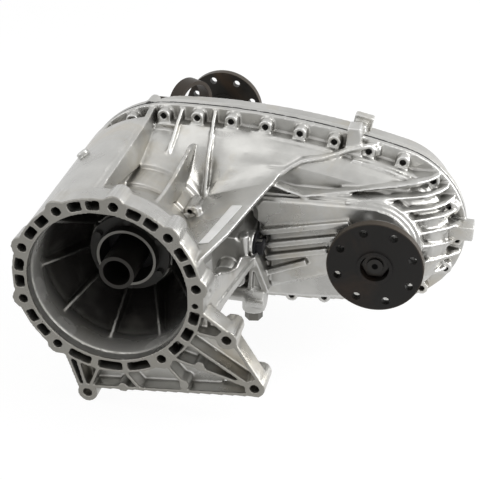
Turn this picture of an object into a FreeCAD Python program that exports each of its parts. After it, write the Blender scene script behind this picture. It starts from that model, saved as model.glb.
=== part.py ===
import FreeCAD, Part
import math
import os
import re

from FreeCAD import Placement, Rotation, Vector

# Transfer case, millimetres. +Y runs along both shafts towards the rear, +X from the main
# shaft to the front output, +Z up. The origin is the centre of the bell flange's front face.

document = FreeCAD.newDocument("TransferCase")
sheet = document.addObject("Spreadsheet::Sheet", "Sizes")

SIZES = [
    ("bell_bolt_start", 7.5, "angle of the first bell bolt, degrees from +X"),
    ("bell_bolt_step", 37.5, "angle between bell bolts"),
    ("bell_foot_bolt", 306, "angle of the bolt above the foot"),
    ("bell_hole_radius", 5.6, "bell bolt hole"),
    ("bell_boss_radius", 14, "boss round a bell bolt hole"),
    ("bell_boss_depth", 34, "length of a bell bolt boss"),
    ("bell_bore_radius", 99, "locating bore of the bell"),
    ("bell_bore_depth", 14, "depth of the locating bore"),
    ("bell_rim", 19, "width of the bell flange outside its bore"),
    ("rim_depth", 28, "depth of the bell flange's rim"),
    ("flank_growth", 6, "how much wider the barrel's left flank is at the chest"),
    ("barrel_neck", 76, "smallest outside radius of the barrel"),
    ("barrel_step", 4.5, "height of the barrel's steps"),
    ("barrel_end", 110, "outside radius of the barrel at the joint flange"),
    ("first_step", 120, "place of the barrel's first step"),
    ("second_step", 164, "place of the barrel's second step"),
    ("pocket_depth", 22, "depth of the cored pockets in the flange"),
    ("dowel_angle", -4.5, "angle of the bell dowel hole"),
    ("bulkhead_front", 122, "front of the bulkhead behind the bell cavity"),
    ("bulkhead_back", 156, "back of the bulkhead"),
    ("cavity_throat", 60, "radius of the bell cavity at the bulkhead"),
    ("chamber_radius", 76, "inside of the gear chamber"),
    ("platform_front", 168, "front face of the platform round the front output"),
    ("chest_front", 205, "front wall of the chain chest"),
    ("shoulder_front", 215, "front of the chest's wider shoulder"),
    ("wall", 7, "casting wall"),
    ("rib", 4.5, "thickness of a casting rib"),
    ("split_plane", 260, "joint face of the front case"),
    ("seam", 0.8, "thickness of the sealant bead"),
    ("front_lip", 8, "thickness of the front case's joint flange"),
    ("rear_lip", 12, "thickness of the rear case's joint flange"),
    ("lip_width", 20, "width of the joint flange outside the wall"),
    ("left_centre", 10, "x of the left end of the case outline"),
    ("left_radius", 132, "radius of the left end of the case outline"),
    ("right_shift", 11, "how far the right end's centre is short of the front output"),
    ("right_radius", 113, "radius of the right end of the case outline"),
    ("crown_radius", 1030, "radius of the long top and bottom of the outline"),
    ("output_x", 297, "front output axis, x"),
    ("output_z", -10, "front output axis, z"),
    ("case_bolts", 28, "number of case bolts"),
    ("case_bolt_start", -2, "distance of the first case bolt along the outline"),
    ("case_bolt_inset", 11, "case bolt line inside the outline"),
    ("case_boss_radius", 8.5, "boss of a case bolt"),
    ("case_boss_length", 22, "length of a case bolt boss"),
    ("case_bolt_radius", 4, "shank of a case bolt"),
    ("case_bolt_reach", 16, "how far a case bolt enters the front case"),
    ("case_bolt_head", 7, "height of a case bolt head"),
    ("case_bolt_flats", 13, "across flats of a case bolt head"),
    ("chest_back", 334, "back wall of the chain chest"),
    ("rear_boss_back", 362, "back of the rear bearing boss"),
    ("rear_boss_radius", 54, "rear bearing boss"),
    ("rear_bearing_front", 338, "front of the rear output bearing"),
    ("rear_bearing_width", 18, "width of the rear output bearing"),
    ("rear_bearing_outer", 40, "outer radius of the rear output bearing"),
    ("tail_flange", 10, "thickness of the tail housing's flange"),
    ("tail_root", 43, "tail housing radius at its flange"),
    ("tail_bolt_radius", 47.5, "bolt circle radius of the tail housing"),
    ("bush_front", 442, "front of the tail bush"),
    ("bush_length", 22, "length of the tail bush"),
    ("bush_wall", 4, "wall of the tail bush"),
    ("hub_front", 474, "front end of the rear flange's hub"),
    ("seal_depth", 8, "depth of an oil seal"),
    ("seal_width", 9, "radial width of an oil seal"),
    ("front_bearing_width", 19, "width of the front output's front bearing"),
    ("front_bearing_bore", 22.5, "its bore radius"),
    ("front_bearing_outer", 42.5, "its outer radius"),
    ("end_bearing_inset", 30, "front output's rear bearing, before the chest's back"),
    ("end_bearing_width", 17, "its width"),
    ("end_bearing_bore", 17.5, "its bore radius"),
    ("end_bearing_outer", 36, "its outer radius"),
    ("end_boss_radius", 44, "boss of that bearing"),
    ("pump_radius", 46, "oil pump body"),
    ("pump_front", 306, "front of the oil pump"),
    ("tone_front", 396, "front of the tone ring"),
    ("tone_width", 12, "width of the tone ring"),
    ("tone_radius", 31, "tone ring"),
    ("tone_teeth", 24, "teeth of the tone ring"),
    ("hanger_x", 1, "hanger ring, x"),
    ("hanger_y", 370, "hanger ring, y"),
    ("hanger_z", 87.5, "hanger ring, z"),
    ("hanger_radius", 32.5, "hanger ring"),
    ("hanger_wall", 5.5, "wall of the hanger ring"),
    ("hanger_width", 20, "width of the hanger ring"),
    ("hanger_turn", 60, "turn of the hanger ring's axis from the shafts, degrees"),
    ("hanger_foot", 4, "thickness of the hanger's foot"),
    ("breather_x", 38, "breather, x"),
    ("breather_z", 86, "breather, z"),
    ("needle_wall", 4, "radial thickness of a needle bearing"),
    ("nut_flats", 30, "across flats of a flange nut"),
    ("nut_height", 8, "height of a flange nut"),
    ("thread_radius", 10, "thread at the end of an output shaft"),
    ("flange_seat", 15, "splined seat of an output flange"),
    ("tail_back", 488, "rear end of the tail housing"),
    ("tail_radius", 34, "tail housing at its rear end"),
    ("front_flange_face", 140, "mating face of the front output flange"),
    ("rear_flange_face", 570, "mating face of the rear output flange"),
    ("flange_radius", 60, "output flange"),
    ("flange_thick", 11, "output flange plate"),
    ("flange_bolt_radius", 48, "bolt circle radius of the output flanges"),
    ("flange_hole_radius", 5.25, "output flange bolt hole"),
    ("flange_holes", 8, "holes in an output flange"),
    ("flange_recess", 18, "radius of the nut recess in an output flange"),
    ("flange_recess_depth", 14, "depth of the nut recess"),
    ("flange_collar", 22, "radius of the raised collar round the recess"),
    ("flange_hub", 26, "hub of the front output flange"),
    ("tail_hub", 21, "hub of the rear output flange"),
    ("nose_front", 152, "front of the front output nose"),
    ("nose_radius", 50, "front output nose"),
    ("platform_radius", 66, "round end of the platform"),
    ("running", 0.05, "radial running clearance"),
    ("side_gap", 0.3, "side clearance between moving faces"),
    ("input_nose", 38, "front end of the input shaft"),
    ("input_radius", 22, "input shaft tube"),
    ("input_bore", 17, "splined bore of the input shaft"),
    ("input_bore_depth", 88, "depth of the splined bore"),
    ("input_bearing_front", 134, "front of the input bearing"),
    ("input_bearing_width", 20, "width of the input bearing"),
    ("input_bearing_outer", 45, "outer radius of the input bearing"),
    ("input_bearing_bore", 25, "bore radius of the input bearing"),
    ("retainer_nose", 75, "front end of the bearing retainer's tube"),
    ("retainer_radius", 38, "retainer tube"),
    ("retainer_wall", 3.5, "wall of the retainer tube"),
    ("retainer_flange", 51, "retainer flange"),
    ("retainer_boss", 54, "boss behind the retainer flange"),
    ("screw_radius", 3, "shank of a small screw"),
    ("screw_flats", 8, "across flats of a retainer screw"),
    ("dowel_radius", 5, "case dowel"),
    ("dowel_reach", 10, "how far a dowel enters each case half"),
    ("retainer_thick", 7, "thickness of the retainer flange"),
    ("gear_module", 1.6, "module of the planetary gears"),
    ("sun_teeth", 50, "teeth of the sun gear"),
    ("planet_teeth", 18, "teeth of a planet gear"),
    ("planets", 4, "number of planet gears"),
    ("gear_front", 165, "front of the sun and planet teeth"),
    ("gear_width", 22, "width of the sun and planet teeth"),
    ("tooth_share", 0.46, "tooth thickness as a share of the pitch"),
    ("carrier_plate", 5, "carrier front plate"),
    ("carrier_back", 7, "carrier rear plate"),
    ("pin_radius", 6, "planet pin"),
    ("main_radius", 22, "main shaft"),
    ("pilot_radius", 12, "front pilot of the main shaft"),
    ("rear_journal", 20, "main shaft in its rear bearing"),
    ("range_front", 182, "front end of the range collar"),
    ("range_length", 40, "length of the range collar"),
    ("range_travel", 16, "travel of the range collar"),
    ("mode_front", 248, "front end of the mode collar"),
    ("mode_length", 24, "length of the mode collar"),
    ("ring_thick", 4, "thickness of a fork groove ring"),
    ("dog_length", 8, "length of the clutch teeth of a collar"),
    ("mode_travel", 8, "travel of the mode collar"),
    ("collar_radius", 27.5, "body of a shift collar"),
    ("collar_ring", 38, "rings each side of a fork groove"),
    ("dog_radius", 31.5, "clutch teeth of a shift collar"),
    ("fork_groove", 8, "width of a fork groove"),
    ("sprocket_front", 272, "front of the sprocket teeth"),
    ("sprocket_width", 26, "width of the sprocket teeth"),
    ("sprocket_teeth", 38, "teeth of each sprocket"),
    ("sprocket_tip", 62, "tip radius of the sprockets"),
    ("sprocket_root", 56, "root radius of the sprockets"),
    ("chain_gap", 0.6, "space between the sprocket tips and the chain"),
    ("chain_height", 9, "height of the chain"),
    ("chain_links", 96, "links of the chain"),
    ("rail_x", 118, "shift rail, x"),
    ("rail_z", -24, "shift rail, z"),
    ("rail_radius", 8, "shift rail"),
    ("rail_front", 110, "front end of the shift rail"),
    ("rail_back", 308, "rear end of the shift rail"),
    ("sector_y", 150, "sector shaft, y"),
    ("sector_z", -2, "sector shaft, z"),
    ("sector_arm", 22.3, "crank radius of the sector shaft"),
    ("sector_radius", 7, "sector shaft"),
    ("shift_wall", 145, "outer face of the shift housing"),
    ("plug_x", 146, "drain plug, x"),
    ("plug_y", 140, "drain plug, y"),
    ("plug_seat", -90, "face that the drain plug seats on"),
    ("plug_flats", 20, "across flats of the drain plug"),
    ("rib_tilt", 13, "slope of the outside ribs, degrees"),
    ("lug_radius", 12.5, "mounting lugs of the foot"),
    ("foot_depth", 26, "depth of the foot's ribs"),
    ("foot_plate", 6, "thickness of the foot's web"),
]

for row, (alias, number, note) in enumerate(SIZES, start=1):
    sheet.set(f"A{row}", note)
    sheet.set(f"B{row}", str(number))
    sheet.setAlias(f"B{row}", alias)
document.recompute()
ALIASES = {alias for alias, number, note in SIZES}


class Values:
    """Numbers of the sheet by their alias."""

    def __getattr__(self, alias):
        return float(sheet.get(alias))


size = Values()
ALONG_Y = Rotation(Vector(1, 0, 0), -90)
LINES = {
    "main": ("0", "0"),
    "front": ("output_x", "output_z"),
    "breather": ("breather_x", "breather_z"),
}


def bind(thing, prop, formula):
    """Tie a property to a formula of sheet aliases."""
    words = re.sub(r"[a-z_]+", lambda word: ("Sizes." if word.group(0) in ALIASES else "")
                   + word.group(0), formula)
    thing.setExpression(prop, words)


def rod(name, start, end, radius, line="main"):
    """Cylinder along Y from one formula to another."""
    cylinder = document.addObject("Part::Cylinder", name)
    cylinder.Placement = Placement(Vector(0, 0, 0), ALONG_Y)
    bind(cylinder, "Radius", radius)
    bind(cylinder, "Height", f"({end}) - ({start})")
    bind(cylinder, "Placement.Base.x", LINES[line][0])
    bind(cylinder, "Placement.Base.y", start)
    bind(cylinder, "Placement.Base.z", LINES[line][1])
    return cylinder


def turned(label, steps, bores=(), line="main"):
    """Turned piece: steps and bores are (start, end, radius) formulas."""
    solids = [rod(f"{label}_step", *step, line) for step in steps]
    body = solids[0]
    if len(solids) > 1:
        body = document.addObject("Part::MultiFuse", f"{label}_body")
        body.Shapes = solids
    if bores:
        tools = [rod(f"{label}_bore", *bore, line) for bore in bores]
        tool = tools[0]
        if len(tools) > 1:
            tool = document.addObject("Part::MultiFuse", f"{label}_bores")
            tool.Shapes = tools
        piece = document.addObject("Part::Cut", f"{label}_cut")
        piece.Base = body
        piece.Tool = tool
        body = piece
    body.Label = label
    return body


def feature(label, shape):
    """Sub-part whose shape comes from Part's own functions."""
    piece = document.addObject("Part::Feature", label)
    piece.Label = label
    piece.Shape = shape
    piece.Placement = Placement()
    return piece


def cylinder(x, z, start, end, radius):
    return Part.makeCylinder(radius, end - start, Vector(x, start, z), Vector(0, 1, 0))


def cone(x, z, start, end, front_radius, back_radius):
    return Part.makeCone(front_radius, back_radius, end - start, Vector(x, start, z),
                         Vector(0, 1, 0))


def plate(points, start, end):
    """Prism along Y over a polygon of (x, z) points."""
    corners = [Vector(x, start, z) for x, z in points]
    wire = Part.makePolygon(corners + corners[:1])
    return Part.Face(wire).extrude(Vector(0, end - start, 0))


def wall_between(first, second, thick, start, end):
    """Upright wall from one (x, z) point to another."""
    along = Vector(second[0] - first[0], 0, second[1] - first[1])
    side = Vector(-along.z, 0, along.x).normalize() * (thick / 2)
    points = []
    for base, sign in ((first, 1), (first, -1), (second, -1), (second, 1)):
        points.append((base[0] + sign * side.x, base[1] + sign * side.z))
    return plate(points, start, end)


def ring_point(radius, degrees, centre=(0, 0)):
    turn = math.radians(degrees)
    return (centre[0] + radius * math.cos(turn), centre[1] + radius * math.sin(turn))


def sector(inner, outer, first, last, start, end):
    """Part of a ring between two angles."""
    middle = (first + last) / 2
    spots = {}
    for radius in (inner, outer):
        for angle in (first, middle, last):
            x, z = ring_point(radius, angle)
            spots[radius, angle] = Vector(x, start, z)
    edges = [
        Part.Arc(spots[inner, first], spots[inner, middle], spots[inner, last]).toShape(),
        Part.makeLine(spots[inner, last], spots[outer, last]),
        Part.Arc(spots[outer, last], spots[outer, middle], spots[outer, first]).toShape(),
        Part.makeLine(spots[outer, first], spots[inner, first]),
    ]
    return Part.Face(Part.Wire(edges)).extrude(Vector(0, end - start, 0))


def hexagon(x, z, start, end, flats):
    corners = [ring_point(flats / math.sqrt(3), 60 * k, (x, z)) for k in range(6)]
    return plate(corners, start, end)


def joined(solids):
    return solids[0].multiFuse(solids[1:]) if len(solids) > 1 else solids[0]


# Outline of the two case halves: round ends joined by long crowned sides, all tangent.

def crown_centre(side):
    """Centre of the long arc that closes the outline on one side."""
    first = Vector(size.left_centre, 0, 0)
    second = Vector(size.output_x - size.right_shift, 0, size.output_z)
    reach_first = size.crown_radius - size.left_radius
    reach_second = size.crown_radius - size.right_radius
    gap = second - first
    span = gap.Length
    along = (reach_first ** 2 - reach_second ** 2 + span ** 2) / (2 * span)
    off = math.sqrt(reach_first ** 2 - along ** 2)
    unit = gap / span
    normal = Vector(-unit.z, 0, unit.x)
    return first + unit * along - normal * (side * off)


def outline(grown):
    """Case outline, grown outwards by a distance, as a wire in the plane y = 0."""
    ends = [(Vector(size.left_centre, 0, 0), size.left_radius + grown),
            (Vector(size.output_x - size.right_shift, 0, size.output_z),
             size.right_radius + grown)]
    touch = {}
    tops = {}
    for side in (1, -1):
        centre = crown_centre(side)
        for which, (spot, radius) in enumerate(ends):
            touch[side, which] = spot + (spot - centre).normalize() * radius
        middle = (touch[side, 0] + touch[side, 1]) / 2 - centre
        tops[side] = centre + middle.normalize() * (size.crown_radius + grown)
    far_left = ends[0][0] - Vector(ends[0][1], 0, 0)
    far_right = ends[1][0] + Vector(ends[1][1], 0, 0)
    return Part.Wire([
        Part.Arc(touch[1, 0], tops[1], touch[1, 1]).toShape(),
        Part.Arc(touch[1, 1], far_right, touch[-1, 1]).toShape(),
        Part.Arc(touch[-1, 1], tops[-1], touch[-1, 0]).toShape(),
        Part.Arc(touch[-1, 0], far_left, touch[1, 0]).toShape(),
    ])


def slab(grown, start, end):
    """Prism over the case outline."""
    face = Part.Face(outline(grown))
    face.translate(Vector(0, start, 0))
    return face.extrude(Vector(0, end - start, 0))


def case_bolt_places():
    """Bolt centres evenly spaced inside the outline, each with the direction inwards."""
    wire = outline(-size.case_bolt_inset)
    count = int(size.case_bolts)
    places = []
    for number in range(count):
        distance = (size.case_bolt_start + wire.Length * number / count) % wire.Length
        for edge in wire.Edges:
            if distance <= edge.Length:
                point = edge.valueAt(edge.getParameterByLength(distance))
                places.append((point, (edge.Curve.Center - point).normalize()))
                break
            distance -= edge.Length
    return places


def case_bolt_spots():
    return [(point.x, point.z) for point, inwards in case_bolt_places()]


def dowel_spots():
    """Two dowels midway between case bolts, at the left and the right end."""
    spots = case_bolt_spots()
    pairs = []
    for number in (9, 23):
        first, second = spots[number], spots[number + 1]
        pairs.append(((first[0] + second[0]) / 2, (first[1] + second[1]) / 2))
    return pairs


def end_bearing_front():
    """Front of the bearing at the rear end of the front output shaft."""
    return size.chest_back - size.end_bearing_inset


def bell_bolt_radius():
    return size.bell_bore_radius + 11


def rim_radius():
    return size.bell_bore_radius + size.bell_rim


def retainer_seat():
    """Front face of the boss that carries the bearing retainer."""
    return size.bulkhead_front - 26


def retainer_screws():
    middle = (size.retainer_radius + size.retainer_flange) / 2
    return [ring_point(middle, 30 + 60 * k) for k in range(6)]


def bell_bolt_spots():
    angles = [size.bell_bolt_start + size.bell_bolt_step * k for k in range(7)]
    angles.append(size.bell_foot_bolt)
    return [(angle, ring_point(bell_bolt_radius(), angle)) for angle in angles]


# Lugs of the foot, (x, z) of their holes: under the bell, beside it, and at the far corner.
LUGS = [(-33, -154.5), (145, -50), (179, -113.5)]


def flank_radius(station):
    return rim_radius() + size.flank_growth * station / size.chest_front


def barrel_profile():
    """Outside of the barrel, (station, radius): cone from the rim, two steps, cone to the joint."""
    neck, step = size.barrel_neck, size.barrel_step
    return [(0, rim_radius()), (size.rim_depth, rim_radius()), (size.first_step, neck),
            (size.first_step + 0.5, neck + step), (size.second_step, neck + step),
            (size.second_step + 0.5, neck + 2 * step), (lip_front(), size.barrel_end)]


def lip_front():
    return size.split_plane - size.front_lip


def spun(profile):
    """Solid turned about the main axis from (station, radius) points."""
    corners = [Vector(radius, station, 0) for station, radius in profile]
    corners += [Vector(0, profile[-1][0], 0), Vector(0, profile[0][0], 0)]
    face = Part.Face(Part.makePolygon(corners + corners[:1]))
    return face.revolve(Vector(0, 0, 0), Vector(0, 1, 0), 360)


RIDGE = 99
RECESS_END = 128
FLANK_END = 262


def wedge(first, last, start, end):
    """Prism over a sector of the plane from one angle to another."""
    middle = [first + (last - first) * k / 6 for k in range(7)]
    return plate([(0, 0)] + [ring_point(220, angle) for angle in middle], start, end)


def bell():
    """Bell with its flange and barrel: solids to add and solids to take away."""
    face, depth = 0, size.bell_bore_depth
    flank = cone(0, 0, face, lip_front(), rim_radius(), flank_radius(lip_front()))
    recess = size.split_plane - size.case_boss_length - 12
    hollow = cone(0, 0, pocket_floor(), recess - 4, flank_radius(0) - size.wall,
                  flank_radius(recess) - size.wall)
    adds = [spun(barrel_profile()),
            flank.common(wedge(RIDGE, FLANK_END, face, recess)),
            flank.common(wedge(RECESS_END, FLANK_END, recess - 1, lip_front()))]
    adds[1] = adds[1].cut(hollow.cut(spun(barrel_profile())).common(
        wedge(RIDGE + 7, FLANK_END + 9, face, recess)))
    cuts = [cylinder(0, 0, face - 1, depth, size.bell_bore_radius),
            cylinder(0, 0, face, pocket_floor(), size.bell_bore_radius - 2),
            cone(0, 0, pocket_floor(), size.bulkhead_front, size.bell_bore_radius - 2,
                 size.cavity_throat)]
    for angle, (x, z) in bell_bolt_spots():
        adds.append(cylinder(x, z, face, size.bell_boss_depth, size.bell_boss_radius))
        cuts.append(cylinder(x, z, face - 1, size.bell_boss_depth - 5, size.bell_hole_radius))
    x, z = ring_point(bell_bolt_radius() - 2, size.dowel_angle)
    cuts.append(cylinder(x, z, face - 1, size.bell_bore_depth, 3.6))
    return adds, cuts


def pocket_floor():
    return size.rim_depth + 26


def flange_pockets():
    """Two pockets between neighbouring bolts, three each side of the bolt over the foot."""
    pockets = []
    for k in range(6):
        first = size.bell_bolt_start + size.bell_bolt_step * k
        for shift in (8.6, 20.4):
            pockets.append((first + shift, first + shift + 8.5))
    last = size.bell_bolt_start + size.bell_bolt_step * 6
    pockets += [(last + 9, last + 24), (last + 29, last + 45), (last + 49, last + 64)]
    foot = size.bell_foot_bolt
    pockets += [(foot + 9, foot + 19), (foot + 23, foot + 32), (foot + 36, foot + 45)]
    inner, outer = size.bell_bore_radius + 4.5, rim_radius() - 3.5
    return [sector(inner, outer, first, last, -1, size.pocket_depth)
            for first, last in pockets]


def bell_webs():
    """Radial webs between the bearing boss and the bell wall."""
    webs = []
    profile = [(size.bulkhead_front + 6, 40), (retainer_seat(), size.retainer_boss - 2),
               (size.bell_bore_depth + 22, size.bell_bore_radius - 1),
               (size.bulkhead_front - 30, size.bell_bore_radius - 1),
               (size.bulkhead_front + 6, size.cavity_throat)]
    for k in range(9):
        corners = [Vector(radius, station, -size.rib / 2) for station, radius in profile]
        face = Part.Face(Part.makePolygon(corners + corners[:1]))
        web = face.extrude(Vector(0, 0, size.rib))
        web.rotate(Vector(0, 0, 0), Vector(0, 1, 0), 18 + 40 * k)
        webs.append(web)
    webs.append(cylinder(0, 0, retainer_seat(), size.bulkhead_front + 6, size.retainer_boss))
    return webs


def foot():
    """Ribbed foot under the bell with its three lugs."""
    depth = size.foot_depth
    rib = size.rib
    first, second, third = LUGS
    left_root = ring_point(rim_radius() - 4, 240)
    right_root = ring_point(rim_radius() - 4, 352)
    adds = [plate([left_root, first, third, second, right_root, (60, -60), (0, -90)],
                  depth - size.foot_plate, depth)]
    for x, z in LUGS:
        length = depth + (16 if x > 0 else 0)
        adds.append(cylinder(x, z, 0, length, size.lug_radius))
    bottom = [(first[0] + 2, first[1] + 9.5), (third[0] - 4, third[1] - 9.5)]
    walls = [(left_root, (first[0] - 9, first[1] + 6)), (bottom[0], bottom[1]),
             ((third[0] + 9, third[1] + 4), (second[0] + 9, second[1] - 4)),
             ((second[0] + 2, second[1] + 9), right_root)]
    for angle, target in ((248, first), (262, first), (278, (34, -136)), (306, (94, -124)),
                          (312, third), (328, third), (337, second)):
        walls.append((ring_point(rim_radius() - 3, angle), target))
    for start, end in walls:
        adds.append(wall_between(start, end, rib, 0, depth))
    for x, z in ((14, -139), (92, -122), (112, -92)):
        adds.append(cylinder(x, z, 0, depth, 6.5))
    cuts = [cylinder(x, z, -1, depth + 30, size.bell_hole_radius) for x, z in LUGS]
    return adds, cuts


def case_bosses(start, end):
    """Bolt bosses, round outside and with straight legs down to the chest wall."""
    radius = size.case_boss_radius
    bosses = []
    for point, inwards in case_bolt_places():
        foot = point + inwards * (size.lip_width - size.case_bolt_inset + 3)
        bosses.append(cylinder(point.x, point.z, start, end, radius))
        bosses.append(wall_between((point.x, point.z), (foot.x, foot.z), 2 * radius, start, end))
    return bosses


def platform(inset, start, end):
    """Platform that carries the front output, moved inwards by a distance: its right end is round."""
    x, z = size.output_x - 13, size.output_z + 7
    reach = size.platform_radius - inset
    low = size.plug_seat + 10 + inset
    corners = [(134 + inset, 49 - inset), (149, 59 - inset), (x, z + reach), (x, z),
               (x - 47, low + 30), (178, low + 7), (154 + inset, low), (152 + inset, 10),
               (136 + inset, 22)]
    return plate(corners, start, end).fuse(cylinder(x, z, start, end, reach))


def block(x, z, start, end):
    """Box over (low, high) spans of x and z."""
    return plate([(x[0], z[0]), (x[1], z[0]), (x[1], z[1]), (x[0], z[1])], start, end)


DOME_START = 113
DOME_END = 240
SHELF_UNDER = 78


def below_dome(solid, inset=0):
    """Keeps what lies under the shelf and the dome, and all of it right of the barrel."""
    top = SHELF_UNDER - inset
    low = block((-400, 600), (-400, top), 0, size.split_plane + 2)
    right = block((DOME_START + inset, 600), (top - 1, 400), 0, size.split_plane + 2)
    return solid.common(low.fuse(right))


def tapered(stages):
    """Case outline that widens towards the back: (inset, station) stages from the front."""
    wires = []
    for inset, station in stages:
        wire = outline(-inset)
        wire.translate(Vector(0, station, 0))
        wires.append(wire)
    return Part.makeLoft(wires, True, True)


def chest():
    """Chain chest, platform and nose of the front output."""
    x, z = size.output_x, size.output_z
    split = size.split_plane
    wall = size.wall
    narrow = -size.lip_width - 12
    behind = DOME_BACK + 2
    adds = [slab(0, lip_front(), split),
            slab(-size.lip_width, DOME_BACK - 1, lip_front() + 1),
            below_dome(tapered([(-narrow + 6, size.chest_front - 5), (-narrow - 4, size.shoulder_front
                                 - 4), (size.lip_width + 2, size.shoulder_front + 9),
                                (size.lip_width, DOME_BACK)])),
            platform(8, size.platform_front, size.chest_front + 2),
            platform(4, size.platform_front + 4, size.chest_front + 2),
            platform(0, size.platform_front + 9, size.chest_front + 2),
            cylinder(x, z, size.nose_front, size.platform_front + 2, size.nose_radius)]
    adds += case_bosses(split - size.case_boss_length, lip_front())
    gears_end = size.gear_front + size.gear_width + 4
    chamber = cylinder(0, 0, size.bulkhead_back, split + 1, size.chamber_radius)
    cuts = [chamber, cone(0, 0, gears_end, behind, size.chamber_radius,
                          size.barrel_end - 2 * wall),
            slab(-size.lip_width - wall, behind, split + 1)]
    right = block((104, 600), (-400, 400), 0, split)
    cuts += [below_dome(slab(-size.lip_width - wall - 2, size.shoulder_front + wall + 4, behind + 1)
                        .common(right), wall),
             below_dome(slab(narrow - wall - 3, size.chest_front + wall,
                             size.shoulder_front + wall + 5).common(right), wall)]
    platform_room = platform(wall + 8, size.platform_front + wall, size.chest_front + wall + 1)
    nose = cylinder(x, z, size.nose_front, front_bearing_front() + 20, size.nose_radius + 2)
    cuts.append(platform_room.cut(nose))
    return adds, cuts


def front_bearing_front():
    """Front of the bearing behind the front output flange."""
    return size.platform_front + 4


SECTOR_SEAL = 12.5
RANGE_GROOVE = size.range_front + size.range_length - size.fork_groove - size.ring_thick


def shift_housing():
    """Boss beside the barrel for the sector shaft and the front end of the rail."""
    x, z = size.rail_x, size.rail_z
    outer = size.shift_wall - 7
    room_front = size.sector_y - 22
    low = z - 26
    high = size.sector_z + 22
    adds = [plate([(104, low), (outer - 6, low), (outer, low + 6), (outer, high - 12), (outer - 12, high),
                   (96, high), (96, low + 8)], room_front - size.wall, size.chest_front),
            cylinder(x, z, size.rail_front - 10, room_front, size.rail_radius + size.wall),
            Part.makeCylinder(17, 24, Vector(size.shift_wall - 24, size.sector_y, size.sector_z),
                              Vector(1, 0, 0))]
    room = plate([(x - 12, z - 16), (outer - size.wall, z - 16),
                  (outer - size.wall, size.sector_z + 6), (outer - size.wall - 8, size.sector_z + 13),
                  (x - 12, size.sector_z + 13)], room_front, size.chest_front + size.wall + 1)
    bore = cylinder(x, z, size.rail_front - 2, room_front + 1, size.rail_radius + size.running)
    shaft = Part.makeCylinder(size.sector_radius + size.running, 40,
                              Vector(x, size.sector_y, size.sector_z), Vector(1, 0, 0))
    seal = Part.makeCylinder(SECTOR_SEAL + size.running, 6,
                             Vector(size.shift_wall - 3, size.sector_y, size.sector_z),
                             Vector(1, 0, 0))
    fork_front = RANGE_GROOVE - 3
    passage = block((60, x - 8), (z - 18, size.sector_z + 16), fork_front,
                    size.chest_front + 3 * size.wall + 8)
    return adds, [room, bore, shaft, seal, passage]


# Shelf beside the barrel: station, then (x, z) of its root, its fold, its middle and its edge.
SHELF = [
    (6, (104, 42), (108, 47), (111, 50), (114, 53)),
    (60, (86, 45), (95, 49), (114, 54.5), (133, 60)),
    (130, (62, 42), (80, 49), (117, 62), (154, 75)),
    (165, (70, 44), (82, 52), (122, 66), (164, 80)),
    (180, (70, 50), (87, 63), (128, 74), (167, 82)),
    (192, (74, 56), (104, 80), (137, 83), (170, 85)),
    (206, (90, 60), (150, 87), (170, 88.5), (187, 90)),
    (222, (110, 60), (185, 92), (195, 93), (204, 93)),
    (235, (130, 60), (215, 94), (225, 95), (240, 96)),
]
DOME_BACK = 235
# Dome between the shelf and the joint flange: x, then (station, height) from fold to ledge.
DOME = [
    (20, [(165, 82), (190, 90), (205, 96), (218, 101), (228, 106), (DOME_BACK, 113)]),
    (46, [(165, 71), (188, 82), (202, 90), (213, 98), (224, 106), (DOME_BACK, 114)]),
    (62, [(166, 56), (188, 72), (200, 84), (211, 96), (223, 107), (DOME_BACK, 113)]),
    (77, [(168, 42), (184, 58), (197, 75), (209, 95), (221, 107), (DOME_BACK, 112)]),
    (90, [(183, 66), (192, 76), (201, 86), (211, 97), (222, 106), (DOME_BACK, 110.5)]),
    (104, [(192, 79), (199, 87), (207, 94), (215, 100), (224, 105), (DOME_BACK, 109.5)]),
    (122, [(195, 85.5), (201, 91), (208, 97), (216, 101.5), (225, 105), (DOME_BACK, 108)]),
    (143, [(198, 86.5), (204, 92), (211, 97), (218, 101), (226, 104), (DOME_BACK, 106.5)]),
    (165, [(203, 89.5), (208, 93.5), (213, 97), (219, 100), (226, 102.5), (DOME_BACK, 105)]),
    (188, [(210, 93), (213, 95.5), (217, 98), (221, 100), (227, 101.5), (DOME_BACK, 102.5)]),
    (215, [(222, 94), (224, 95.5), (226, 96.5), (229, 97.5), (232, 98.2), (DOME_BACK, 98.7)]),
    (DOME_END, [(230, 92), (231, 92.5), (232, 93), (233, 93.5), (234, 94), (DOME_BACK, 94.3)]),
]


def lofted(sections):
    """Solid through closed polygons with the same number of corners."""
    return Part.makeLoft([Part.makePolygon(corners + corners[:1]) for corners in sections],
                         True, True)


def shelf():
    """Plate that runs from the bell flange up to the chest's top edge."""
    sections = []
    for station, root, fold, middle, edge in SHELF:
        points = [root, fold, middle, edge, (edge[0] - 1.5, edge[1] - size.wall),
                  (middle[0], middle[1] - size.wall - 1), (fold[0], fold[1] - size.wall - 2),
                  (root[0], root[1] - 4)]
        sections.append([Vector(x, station, z) for x, z in points])
    return lofted(sections)


# Band that carries the shelf's edge on to the joint flange: (x, station, height) of its top.
BAND = [(205, 224, 94), (232, 230, 97), (255, 238, 96), (268, 242, 98.5), (284, 248, 103)]


def band():
    """Rounded band from the end of the shelf to the joint flange."""
    sections = []
    for x, station, z in BAND:
        sections.append([Vector(x, station - 3, z - 2), Vector(x, station, z), Vector(x, station + 6, z),
                         Vector(x, station + 10, z - 14), Vector(x, station - 3, z - 10)])
    return lofted(sections)


def dome():
    """Rounded shoulder from the barrel and the shelf up to the ledge of the joint flange."""
    sections = []
    for x, points in DOME:
        low = min(60, points[0][1] - 12)
        corners = [Vector(x, station, z) for station, z in points]
        corners += [Vector(x, DOME_BACK, low), Vector(x, points[0][0], low)]
        sections.append(corners)
    return lofted(sections)


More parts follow.
